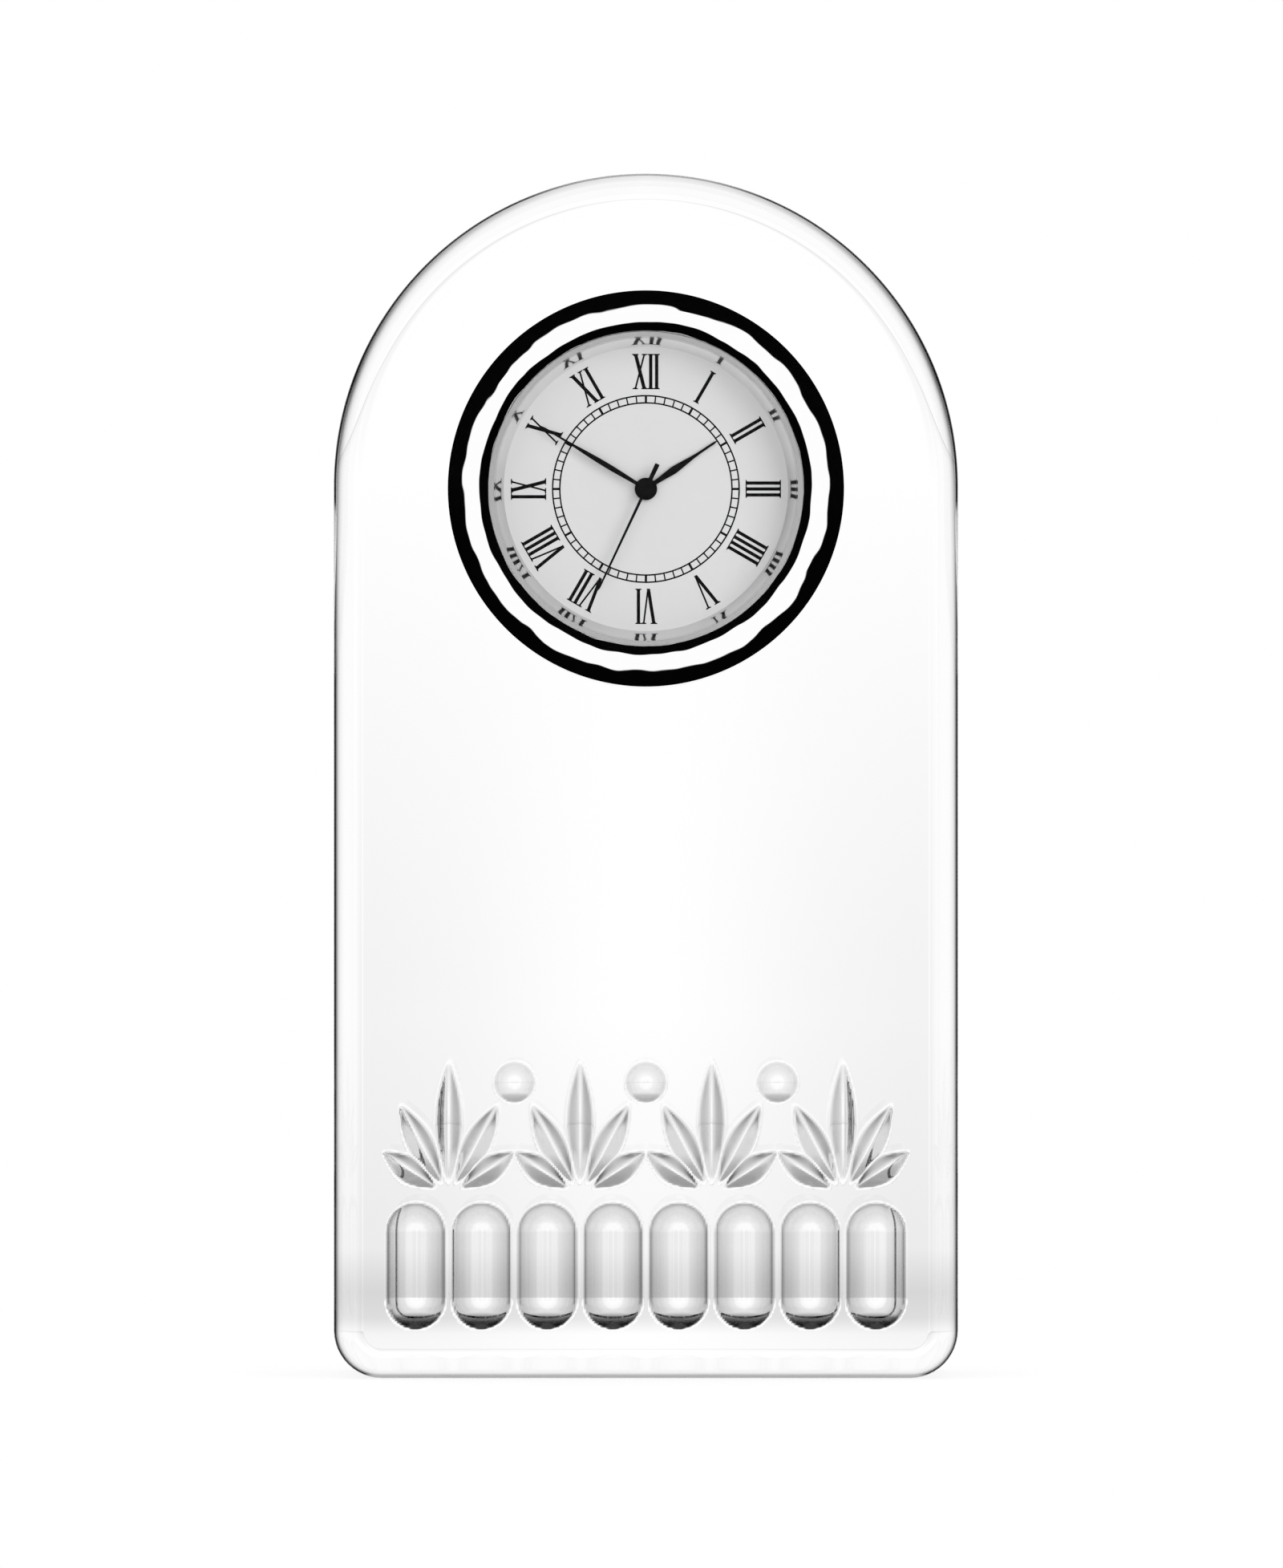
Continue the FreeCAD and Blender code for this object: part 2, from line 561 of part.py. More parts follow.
# Case, cover and friction band
case = tube(CASE_OUTER_RADIUS, CASE_INNER_RADIUS, COLLAR_STEP_DEPTH, CASE_BACK)
export("insert_case", case)
band_points = [(BAND_INNER_RADIUS, BAND_FRONT), (BAND_VALLEY_RADIUS, BAND_FRONT)]
for number in range(BAND_RIB_COUNT):
    start = BAND_FRONT + BAND_RIB_PITCH * number
    band_points.append((BAND_OUTER_RADIUS, start + BAND_RIB_PITCH / 2))
    band_points.append((BAND_VALLEY_RADIUS, start + BAND_RIB_PITCH))
band_points.append((BAND_INNER_RADIUS, BAND_FRONT + BAND_RIB_PITCH * BAND_RIB_COUNT))
export("friction_band", turned_polygon(band_points))
cover = disc(CASE_OUTER_RADIUS, CASE_BACK, COVER_BACK)
cover_holes = [
    disc(HATCH_BORE, CASE_BACK, COVER_BACK, BATTERY_X, BATTERY_Z),
    disc(COVER_KNOB_BORE, CASE_BACK, COVER_BACK, *SET_AT),
]
for x, z in BOSSES:
    cover_holes.append(disc(CASE_SCREW_RADIUS + RUN_CLEARANCE, CASE_BACK, COVER_BACK, x, z))
export("case_back", cover.cut(cover_holes))
export("case_screws", *[
    screw(
        CASE_SCREW_RADIUS, CASE_SCREW_HEAD_RADIUS, CASE_SCREW_HEAD_HEIGHT, CASE_SCREW_LENGTH, COVER_BACK, x, z
    )
    for x, z in BOSSES
])
hatch = disc(HATCH_PLUG_RADIUS, CASE_BACK, COVER_BACK, BATTERY_X, BATTERY_Z)
hatch_back = COVER_BACK + HATCH_FLANGE_HEIGHT
hatch = hatch.fuse(disc(HATCH_FLANGE_RADIUS, COVER_BACK, hatch_back, BATTERY_X, BATTERY_Z))
hatch_slot = box(
    BATTERY_X - HATCH_SLOT_LENGTH / 2, BATTERY_X + HATCH_SLOT_LENGTH / 2,
    BATTERY_Z - HATCH_SLOT_WIDTH / 2, BATTERY_Z + HATCH_SLOT_WIDTH / 2,
    hatch_back - HATCH_SLOT_DEPTH, hatch_back,
)
export("battery_hatch", hatch.cut(hatch_slot).removeSplitter())

# Holder ring that carries the movement in the case
holder = tube(HOLDER_OUTER_RADIUS, HOLDER_LEDGE_RADIUS, DIAL_BACK, HOLDER_BACK)
holder = holder.cut(disc(HOLDER_BORE, PLATE_FRONT, HOLDER_BACK))
holder = holder.fuse([disc(BOSS_RADIUS, HOLDER_BACK, CASE_BACK, x, z) for x, z in BOSSES])
holder_holes = [
    disc(CASE_SCREW_RADIUS + PRESS_CLEARANCE, COVER_BACK - CASE_SCREW_LENGTH, CASE_BACK, x, z)
    for x, z in BOSSES
]
for x, z in dial_feet:
    foot_back = DIAL_BACK + DIAL_FOOT_LENGTH + RUN_CLEARANCE
    holder_holes.append(disc(DIAL_FOOT_RADIUS + RUN_CLEARANCE, DIAL_BACK, foot_back, x, z))
export("movement_holder", holder.cut(holder_holes).removeSplitter())

# Main plate with its pillars and the post of the minute wheel
main_plate = disc(PLATE_RADIUS, PLATE_FRONT, PLATE_BACK)
pillars = [disc(PILLAR_RADIUS, PLATE_BACK, BRIDGE_FRONT, x, z) for x, z in PILLARS]
post = disc(POST_RADIUS, POST_TIP, PLATE_FRONT, *MOTION_AT)
main_plate = main_plate.fuse(pillars + [post])
blind = PLATE_BACK - PIVOT_DEPTH
plate_holes = [
    disc(PLATE_CANNON_BORE, PLATE_FRONT, PLATE_BACK),
    disc(SET_SHAFT_RADIUS + RUN_CLEARANCE, PLATE_FRONT, PLATE_BACK, *SET_AT),
]
for x, z in (THIRD_AT, FIFTH_AT, ROTOR_AT):
    plate_holes.append(disc(PIVOT_RADIUS + RUN_CLEARANCE, blind, PLATE_BACK, x, z))
for x, z in PILLARS:
    tip = BRIDGE_BACK - BRIDGE_SCREW_LENGTH
    plate_holes.append(disc(BRIDGE_SCREW_RADIUS + PRESS_CLEARANCE, tip, BRIDGE_FRONT, x, z))
export("main_plate", main_plate.cut(plate_holes).removeSplitter())

# Train bridge, open above the coil
bridge = disc(BRIDGE_RADIUS, BRIDGE_FRONT, BRIDGE_BACK)
left, right, low, high = COIL_WINDOW
bridge_holes = [
    box(left, right, low, high, BRIDGE_FRONT, BRIDGE_BACK),
    disc(SET_SHAFT_RADIUS + RUN_CLEARANCE, BRIDGE_FRONT, BRIDGE_BACK, *SET_AT),
]
for x, z in (CENTRE, THIRD_AT, FIFTH_AT, ROTOR_AT):
    depth = BRIDGE_FRONT + PIVOT_DEPTH
    bridge_holes.append(disc(PIVOT_RADIUS + RUN_CLEARANCE, BRIDGE_FRONT, depth, x, z))
for x, z in PILLARS:
    bridge_holes.append(disc(BRIDGE_SCREW_RADIUS + RUN_CLEARANCE, BRIDGE_FRONT, BRIDGE_BACK, x, z))
export("train_bridge", bridge.cut(bridge_holes))
export("bridge_screws", *[
    screw(
        BRIDGE_SCREW_RADIUS, BRIDGE_SCREW_HEAD_RADIUS, BRIDGE_SCREW_HEAD_HEIGHT,
        BRIDGE_SCREW_LENGTH, BRIDGE_BACK, x, z,
    )
    for x, z in PILLARS
])

# Motion work in front of the main plate
cannon = gear(
    CANNON_PINION_TEETH, MOTION_MODULE, CANNON_PINION_DEPTHS, CENTRE, MOTION_TURN, False
)
cannon_seat = minute_seat
cannon = cannon.fuse([
    disc(cannon_seat, MINUTE_HAND_BACK - SEAT_LENGTH, MINUTE_HAND_BACK),
    disc(CANNON_RADIUS, MINUTE_HAND_BACK, CENTRE_WHEEL_DEPTHS[0]),
    disc(CENTRE_SEAT_RADIUS, CENTRE_WHEEL_DEPTHS[0], CANNON_BACK),
])
cannon_hole = disc(CANNON_BORE, MINUTE_HAND_BACK - SEAT_LENGTH, CANNON_BACK)
export("cannon_pinion", cannon.cut(cannon_hole).removeSplitter())
centre_wheel = gear(
    CENTRE_WHEEL_TEETH, CENTRE_MODULE, CENTRE_WHEEL_DEPTHS, CENTRE, THIRD_TURN, False
)
export("centre_wheel", centre_wheel.cut(
    disc(CENTRE_SEAT_RADIUS + PRESS_CLEARANCE, CENTRE_WHEEL_DEPTHS[0], CENTRE_WHEEL_DEPTHS[1])
))
hour_wheel = gear(
    HOUR_WHEEL_TEETH, MOTION_MODULE, HOUR_WHEEL_DEPTHS, CENTRE, MOTION_TURN, False
)
hour_wheel = hour_wheel.fuse([
    disc(hour_seat, HOUR_HAND_BACK - SEAT_LENGTH, HOUR_HAND_BACK),
    disc(PIPE_RADIUS, HOUR_HAND_BACK, HOUR_WHEEL_DEPTHS[0]),
])
hour_hole = disc(PIPE_BORE, HOUR_HAND_BACK - SEAT_LENGTH, HOUR_WHEEL_DEPTHS[1])
export("hour_wheel", hour_wheel.cut(hour_hole).removeSplitter())
minute_wheel = gear(
    MINUTE_WHEEL_TEETH, MOTION_MODULE, MINUTE_WHEEL_DEPTHS, MOTION_AT, MOTION_TURN + HALF_TURN, True
)
minute_wheel = minute_wheel.fuse(gear(
    MINUTE_PINION_TEETH, MOTION_MODULE, MINUTE_PINION_DEPTHS, MOTION_AT, MOTION_TURN + HALF_TURN, True
))
minute_hole = disc(POST_RADIUS + RUN_CLEARANCE, MINUTE_PINION_DEPTHS[0], MINUTE_WHEEL_DEPTHS[1], *MOTION_AT)
export("minute_wheel", minute_wheel.cut(minute_hole).removeSplitter())
set_shaft = gear(
    SET_PINION_TEETH, MOTION_MODULE, SET_PINION_DEPTHS, SET_AT, MOTION_TURN + HALF_TURN, False
)
set_shaft = set_shaft.fuse([
    disc(SET_SHAFT_RADIUS, SET_PINION_DEPTHS[1], KNOB_FRONT + KNOB_SEAT_DEPTH, *SET_AT),
    disc(SET_BOSS_RADIUS, BRIDGE_BACK + RUN_CLEARANCE, KNOB_FRONT, *SET_AT),
])
export("set_shaft", set_shaft.removeSplitter())
knob = gear(
    KNOB_RIBS, KNOB_MODULE, (KNOB_FRONT, KNOB_BACK), SET_AT, 0.0, True
)
knob_hole = disc(KNOB_BORE, KNOB_FRONT, KNOB_FRONT + KNOB_SEAT_DEPTH, *SET_AT)
export("set_knob", knob.cut(knob_hole))

# Wheels between the plates
seconds_wheel = gear(
    SECONDS_WHEEL_TEETH, SECONDS_MODULE, SECONDS_WHEEL_DEPTHS, CENTRE, FIFTH_TURN, False
)
seconds_wheel = seconds_wheel.fuse([
    gear(SECONDS_PINION_TEETH, THIRD_MODULE, SECONDS_PINION_DEPTHS, CENTRE, THIRD_TURN, True),
    disc(PIVOT_RADIUS, SECONDS_HAND_BACK - SEAT_LENGTH + RUN_CLEARANCE, SECONDS_HAND_BACK),
    disc(ARBOR_RADIUS, SECONDS_HAND_BACK, BRIDGE_FRONT - RUN_CLEARANCE),
    disc(PIVOT_RADIUS, BRIDGE_FRONT - RUN_CLEARANCE, BRIDGE_FRONT + PIVOT_DEPTH - RUN_CLEARANCE),
])
export("seconds_wheel", seconds_wheel.removeSplitter())
third_wheel = gear(
    THIRD_WHEEL_TEETH, THIRD_MODULE, THIRD_WHEEL_DEPTHS, THIRD_AT, THIRD_TURN + HALF_TURN, False
)
third_wheel = third_wheel.fuse([
    gear(THIRD_PINION_TEETH, CENTRE_MODULE, THIRD_PINION_DEPTHS, THIRD_AT, THIRD_TURN + HALF_TURN, True),
    arbor(PLATE_BACK, BRIDGE_FRONT, THIRD_AT),
])
export("third_wheel", third_wheel.removeSplitter())
fifth_wheel = gear(
    FIFTH_WHEEL_TEETH, ROTOR_MODULE, FIFTH_WHEEL_DEPTHS, FIFTH_AT, ROTOR_TURN, False
)
fifth_wheel = fifth_wheel.fuse([
    gear(FIFTH_PINION_TEETH, SECONDS_MODULE, FIFTH_PINION_DEPTHS, FIFTH_AT, FIFTH_TURN + HALF_TURN, True),
    arbor(PLATE_BACK, BRIDGE_FRONT, FIFTH_AT),
])
export("fifth_wheel", fifth_wheel.removeSplitter())
rotor = gear(
    ROTOR_PINION_TEETH, ROTOR_MODULE, ROTOR_PINION_DEPTHS, ROTOR_AT, ROTOR_TURN + HALF_TURN, True
)
rotor = rotor.fuse([
    disc(MAGNET_RADIUS, MAGNET_DEPTHS[0], MAGNET_DEPTHS[1], *ROTOR_AT),
    arbor(PLATE_BACK, BRIDGE_FRONT, ROTOR_AT),
])
export("rotor", rotor.removeSplitter())

# Step motor
stator = plate(STATOR_OUTLINE, STATOR_DEPTHS[0], STATOR_DEPTHS[1])
stator_hole = disc(STATOR_HOLE_RADIUS, STATOR_DEPTHS[0], STATOR_DEPTHS[1], *ROTOR_AT)
export("stator", stator.cut(stator_hole))
core_low = COIL_Z - CORE_HALF_HEIGHT
core_high = COIL_Z + CORE_HALF_HEIGHT
export("coil_core", box(-CORE_HALF_LENGTH, CORE_HALF_LENGTH, core_low, core_high, *CORE_DEPTHS))
core_middle = (CORE_DEPTHS[0] + CORE_DEPTHS[1]) / 2
play = COIL_BORE_CLEARANCE
core_space = box(
    -CORE_HALF_LENGTH, CORE_HALF_LENGTH, core_low - play, core_high + play,
    CORE_DEPTHS[0] - play, CORE_DEPTHS[1] + play,
)
winding = Part.makeCylinder(
    COIL_RADIUS, 2 * COIL_HALF_LENGTH,
    vector(-COIL_HALF_LENGTH, FACE_Y + core_middle, DIAL_Z + COIL_Z), vector(1, 0, 0),
)
export("coil_winding", winding.cut(core_space))
flanges = []
for side in (-1, 1):
    inner_x = side * COIL_HALF_LENGTH
    outer_x = side * (COIL_HALF_LENGTH + FLANGE_THICKNESS)
    flange = box(
        min(inner_x, outer_x), max(inner_x, outer_x), COIL_Z - FLANGE_SIZE, COIL_Z + FLANGE_SIZE,
        core_middle - FLANGE_DEPTH_SIZE, core_middle + FLANGE_DEPTH_SIZE,
    )
    flanges.append(flange.cut(core_space))
export("coil_flanges", *flanges)

# Battery, contacts and circuit
battery_front = BRIDGE_BACK + CONTACT_THICKNESS
battery_back = battery_front + BATTERY_HEIGHT
battery = disc(BATTERY_STEP_RADIUS, battery_front, battery_front + BATTERY_STEP, BATTERY_X, BATTERY_Z)
battery = battery.fuse(disc(BATTERY_RADIUS, battery_front + BATTERY_STEP, battery_back, BATTERY_X, BATTERY_Z))
export("battery", battery)
half = CONTACT_WIDTH / 2
board_top = BOARD_OUTLINE[0][1]
board_back = BRIDGE_BACK + BOARD_THICKNESS
export("contact_negative", box(
    BATTERY_X - half, BATTERY_X + half, board_top, BATTERY_Z + half, BRIDGE_BACK, battery_front
))
clip = box(
    BATTERY_X - half, BATTERY_X + half, CLIP_REACH_Z, BATTERY_Z + half,
    battery_back, battery_back + CONTACT_THICKNESS,
)
clip_leg = box(
    BATTERY_X - half, BATTERY_X + half, CLIP_REACH_Z, CLIP_REACH_Z + CONTACT_THICKNESS,
    board_back, battery_back,
)
export("contact_positive", clip.fuse(clip_leg).removeSplitter())
board = plate(BOARD_OUTLINE, BRIDGE_BACK, board_back)
export("circuit_board", board)
left, right, low, high = CHIP_BOX
export("circuit_chip", box(left, right, low, high, board_back, board_back + CHIP_HEIGHT))
quartz = Part.makeCylinder(
    QUARTZ_RADIUS, QUARTZ_LENGTH,
    vector(QUARTZ_X - QUARTZ_LENGTH / 2, FACE_Y + board_back + QUARTZ_RADIUS, DIAL_Z + QUARTZ_Z),
    vector(1, 0, 0),
)
export("quartz_can", quartz)
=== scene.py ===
import math

import bpy
import numpy as np
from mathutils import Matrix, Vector
from mathutils.geometry import delaunay_2d_cdt


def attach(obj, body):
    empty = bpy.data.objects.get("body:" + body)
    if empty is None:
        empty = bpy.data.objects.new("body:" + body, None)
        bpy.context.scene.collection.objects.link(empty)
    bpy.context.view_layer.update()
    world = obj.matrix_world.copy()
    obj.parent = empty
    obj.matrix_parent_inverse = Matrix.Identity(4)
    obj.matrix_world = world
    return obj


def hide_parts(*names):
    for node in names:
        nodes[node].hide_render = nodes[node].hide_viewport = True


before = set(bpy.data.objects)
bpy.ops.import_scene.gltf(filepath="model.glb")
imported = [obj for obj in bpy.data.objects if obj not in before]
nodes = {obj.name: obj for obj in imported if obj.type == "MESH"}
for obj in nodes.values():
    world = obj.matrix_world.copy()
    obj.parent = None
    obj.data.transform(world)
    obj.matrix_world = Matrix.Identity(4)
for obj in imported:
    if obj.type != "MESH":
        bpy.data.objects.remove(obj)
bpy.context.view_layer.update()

MM = 0.001

# Crystal block. The dial and its bore sit a little below the centre of the arch.
BLOCK_WIDTH = 92.3 * MM
BLOCK_HEIGHT = 178.0 * MM
BLOCK_DEPTH = 38.0 * MM
FACE_Y = -BLOCK_DEPTH / 2
ARCH_RADIUS = BLOCK_WIDTH / 2
ARCH_Z = BLOCK_HEIGHT - ARCH_RADIUS
BORE_DROP = 0.5 * MM
DIAL_Z = ARCH_Z - BORE_DROP
FOOT_RADIUS = 7.1 * MM
FRONT_ROUND = 4.5 * MM
BACK_ROUND = 2.0 * MM
BORE_RADIUS = 27.0 * MM
BORE_CHAMFER = 0.5 * MM

# Cut band of leaves, beads and flutes, in millimetres
FAN_PITCH_SHARE = 0.2102
FAN_PITCH = BLOCK_WIDTH / MM * FAN_PITCH_SHARE
FAN_COUNT = 4
FAN_FOOT_Z = 27.0
LEAF_START = 2.5
LEAF_DEPTH = 2.7
LEAF_WIDTH = 3.2
LEAF_TURNS = (-56.0, -28.0, 0.0, 28.0, 56.0)
LEAF_LENGTHS = (9.0, 12.5, 17.0, 12.5, 9.0)
BEAD_Z = 43.8
BEAD_RADIUS = 2.9
BEAD_DEPTH = 1.7
FLUTE_RADIUS = 4.6
FLUTE_DEPTH = 3.0
FLUTE_LOW_Z = 7.5
FLUTE_HIGH_Z = 26.0
VALLEY_ROUND = 0.30
EDGE_SOFTNESS = 0.16
BAND_HALF_WIDTH = 40.2
BAND_LOW_Z = 5.4
BAND_HIGH_Z = 52.2
BAND_STEP = 0.3
SLOPE_STEP = 0.01

# Front of the insert, in millimetres: radii from the dial's axis, and depths from the block's front face.
# A depth is below zero where a piece stands out of that face.
BEZEL_OUTER = 29.2
BEZEL_RIDGE = 25.15
BEZEL_INNER = 23.24
SHOULDER_DEPTH = -1.79
RIDGE_DEPTH = -3.43
LIP_DEPTH = -2.64
SEAT_RADIUS = 24.5
SEAT_DEPTH = -1.0
SEAT_BACK = 0.6
COLLAR_INNER = 25.26
COLLAR_OUTER = 26.0
COLLAR_BACK = 3.2
LENS_RADIUS = 24.45
LENS_BEVEL_OUTER = 23.1
LENS_BEVEL_INNER = 22.3
LENS_FACE = -1.6
LENS_BACK = 0.2
RING_RADIUS = 24.45
RING_FRONT = 0.5
CONE_MOUTH = 22.3
CONE_FOOT = 21.0
DIAL_DEPTH = 2.4

# Printing on the dial, in millimetres: across and up from a numeral's foot, or radii
INK_THICKNESS = 0.02
NUMERAL_FOOT = 14.72
NUMERAL_TOP = 19.94
STROKE_THICK = 0.49
STROKE_THIN = 0.25
SERIF_EDGE = 0.14
SERIF_STEPS = ((0.28, 0.20), (0.20, 0.34))
THIN_SERIF_STEPS = ((0.12, 0.24),)
THIN_SERIF_HALF = 0.40
I_SERIF_HALF = 0.46
V_SERIF_HALF = 0.50
V_HEADS = (-0.75, 0.78)
V_POINTS = (0.08, 0.12)
X_SERIF_HALF = 0.48
X_SERIF_OUT = 0.68
X_OUT = 0.66
X_THIN_FOOT = -0.70
X_EXTRA_THICK = 0.03
LETTER_WIDTHS = {"I": 0.88, "V": 2.2, "X": 2.3}
HOURS = ("I", "II", "III", "IIII", "V", "VI", "VII", "VIII", "IX", "X", "XI", "XII")
TRACK_INNER = 12.71
TRACK_OUTER = 13.77
TRACK_HALF = 0.11
TICK_HALF = 0.10
FIFTH_TICK_HALF = 0.17
TICK_INSET = 0.075
HOUR_DEGREES = 30
MINUTE_DEGREES = 6

# Cap of the hands, as (radius, depth) in millimetres
CAP_PROFILE = ((0.0, 0.53), (0.50, 0.53), (0.50, 0.47), (0.42, 0.41), (0.25, 0.37), (0.0, 0.36))

# How finely curves are cut
ARCH_POINTS = 145
FOOT_POINTS = 13
ROUND_POINTS = 15
CROWN_POINTS = 17
LATHE_POINTS = 240
BEZEL_POINTS = 288
CAP_POINTS = 48

# Points are one where they agree to JOIN_DIGITS decimals, or in a sheet lie within its limit, in millimetres
JOIN_DIGITS = 4
RIM_LIMIT = 1e-6
INK_LIMIT = 1e-5

# The least length that anything is divided by, in metres
LEAST_LENGTH = 1e-12


# Surfaces: each patch is (points, triangles, normals), and a piece is several patches joined along their rims

def grid_patch(points, normals, around=False):
    """Points p(i, j) on a grid, joined in quads cut in two. With around, the second parameter closes on
    itself."""
    rows, columns = points.shape[:2]
    number = np.arange(rows * columns).reshape(rows, columns)
    if around:
        number = np.concatenate([number, number[:, :1]], axis=1)
    a, b = number[:-1, :-1].ravel(), number[:-1, 1:].ravel()
    c, d = number[1:, 1:].ravel(), number[1:, :-1].ravel()
    triangles = np.concatenate([np.stack([a, b, c], 1), np.stack([a, c, d], 1)])
    return points.reshape(-1, 3), triangles, normals.reshape(-1, 3)


def flat_patch(rims, y, facing, inside):
    """A flat sheet at depth y between closed rims of (x, z), triangulated so that it meets each rim point for
    point."""
    flat = np.concatenate(rims)
    edges, first = [], 0
    for rim in rims:
        number = np.arange(len(rim))
        edges.append(np.stack([first + number, first + np.roll(number, -1)], 1))
        first += len(rim)
    edges = np.concatenate(edges).tolist()
    _, _, faces, source, _, _ = delaunay_2d_cdt([Vector(p / MM) for p in flat], edges, [], 0, RIM_LIMIT)
    origin = np.array([s[0] for s in source])
    triangles = origin[np.array(faces)]
    middles = flat[triangles].mean(1)
    triangles = triangles[inside(middles)]
    points = np.stack([flat[:, 0], np.full(len(flat), y), flat[:, 1]], 1)
    normals = np.tile([0.0, facing, 0.0], (len(flat), 1))
    return points, triangles, normals


def within(rim, spots):
    """Which spots lie in a closed rim: a ray to the right crosses it an odd number of times."""
    a, b = rim, np.roll(rim, -1, 0)
    x, z = spots[:, 0][:, None], spots[:, 1][:, None]
    spans = (a[:, 1] > z) != (b[:, 1] > z)
    rise = np.where(b[:, 1] == a[:, 1], 1.0, b[:, 1] - a[:, 1])
    meets = a[:, 0] + (z - a[:, 1]) * (b[:, 0] - a[:, 0]) / rise
    return (spans & (x < meets)).sum(1) % 2 == 1


def piece(name, patches, material, body, replaced=()):
    """Joins patches along equal points, turns each face to the side that its normals point to, and keeps the
    worked-out normals."""
    points = np.concatenate([p for p, _, _ in patches])
    starts = np.cumsum([0] + [len(p) for p, _, _ in patches[:-1]])
    corners = np.concatenate([t + s for (_, t, _), s in zip(patches, starts)])
    normals = np.concatenate([n for _, _, n in patches])
    rounded = np.round(points / MM, JOIN_DIGITS)
    _, first, same = np.unique(rounded, axis=0, return_index=True, return_inverse=True)
    same = same.reshape(-1)
    joined = same[corners]
    whole = (joined != np.roll(joined, -1, 1)).all(1)
    corners, joined = corners[whole], joined[whole]
    a, b, c = (points[first][joined[:, k]] for k in range(3))
    turned = (np.cross(b - a, c - a) * normals[corners].sum(1)).sum(1) < 0
    corners[turned] = corners[turned][:, ::-1]
    joined[turned] = joined[turned][:, ::-1]
    mesh = bpy.data.meshes.new(name)
    mesh.from_pydata(points[first].tolist(), [], joined.tolist())
    mesh.shade_smooth()
    mesh.normals_split_custom_set(normals[corners].reshape(-1, 3).tolist())
    mesh.materials.append(material)
    shown = bpy.data.objects.new(name, mesh)
    bpy.context.scene.collection.objects.link(shown)
    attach(shown, body)
    if replaced:
        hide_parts(*replaced)
    return shown


def lathe_patches(profile, count=LATHE_POINTS):
    """Turns stretches of a profile about the dial's axis: (r * cos t, y, r * sin t). Each stretch is rows of
    (radius, depth, normal outward, normal along Y)."""
    turn = np.linspace(0, 2 * np.pi, count, endpoint=False)
    across, up = np.cos(turn), np.sin(turn)
    patches = []
    for stretch in profile:
        r, y, out, along = (np.asarray(stretch, float)[:, k][:, None] for k in range(4))
        points = np.stack([r * across, y + 0 * across, r * up + DIAL_Z], 2)
        normals = np.stack([out * across, along + 0 * across, out * up], 2)
        patches.append(grid_patch(points, normals, True))
    return patches


def straight(a, b):
    """One straight stretch of a profile from a to b, with its normal to the left of the way along."""
    (r0, y0), (r1, y1) = a, b
    length = math.hypot(r1 - r0, y1 - y0)
    out, along = (y0 - y1) / length, (r1 - r0) / length
    return [(r0, y0, out, along), (r1, y1, out, along)]


# Crystal block

def block_outline():
    """The outline as (x, z) with outward directions, anticlockwise from the front: half-round top, left foot
    and right foot, joined by straight sides and a straight base."""
    half = BLOCK_WIDTH / 2
    top = np.linspace(0, np.pi, ARCH_POINTS)
    left_foot = np.linspace(np.pi, 1.5 * np.pi, FOOT_POINTS)
    right_foot = np.linspace(1.5 * np.pi, 2 * np.pi, FOOT_POINTS)
    turns = np.concatenate([top, left_foot, right_foot])
    out = np.stack([np.cos(turns), np.sin(turns)], 1)
    centre = np.zeros((len(turns), 2))
    centre[:ARCH_POINTS] = [0, ARCH_Z]
    centre[ARCH_POINTS:-FOOT_POINTS] = [FOOT_RADIUS - half, FOOT_RADIUS]
    centre[-FOOT_POINTS:] = [half - FOOT_RADIUS, FOOT_RADIUS]
    radius = np.full(len(turns), FOOT_RADIUS)
    radius[:ARCH_POINTS] = ARCH_RADIUS
    return centre + out * radius[:, None], out


def evenly(count, pitch):
    """Places for a row of count, pitch apart, about the block's middle."""
    return [pitch * (number - (count - 1) / 2) for number in range(count)]


def leaf_depth(x, z, foot, turn, length):
    """A leaf is the bite of a wheel with a V edge, rounded in its valley. At t along and a across the leaf,
    its depth is sqrt((wheel * (1 - a / side))^2 - t^2) - (wheel - depth), which is below zero outside its
    outline."""
    wheel = (length**2 / 4 + LEAF_DEPTH**2) / (2 * LEAF_DEPTH)
    side = wheel * LEAF_WIDTH / 2 / LEAF_DEPTH
    turn = math.radians(turn)
    t = (x - foot) * math.sin(turn) + (z - FAN_FOOT_Z) * math.cos(turn) - LEAF_START - length / 2
    a = (x - foot) * math.cos(turn) - (z - FAN_FOOT_Z) * math.sin(turn)
    a = np.sqrt(a**2 + VALLEY_ROUND**2) - VALLEY_ROUND
    reach = wheel * np.maximum(1 - a / side, 0)
    return np.sqrt(np.maximum(reach**2 - t**2, 0)) - wheel + LEAF_DEPTH


def ball_depth(x, z, middle, low, high, ball, depth):
    """A bead, or a flute where low and high differ: a ball's bite drawn out upwards,
    sqrt(ball^2 - x^2 - z^2) - (ball - depth)."""
    up = z - np.clip(z, low, high)
    return np.sqrt(np.maximum(ball**2 - (x - middle) ** 2 - up**2, 0)) - ball + depth


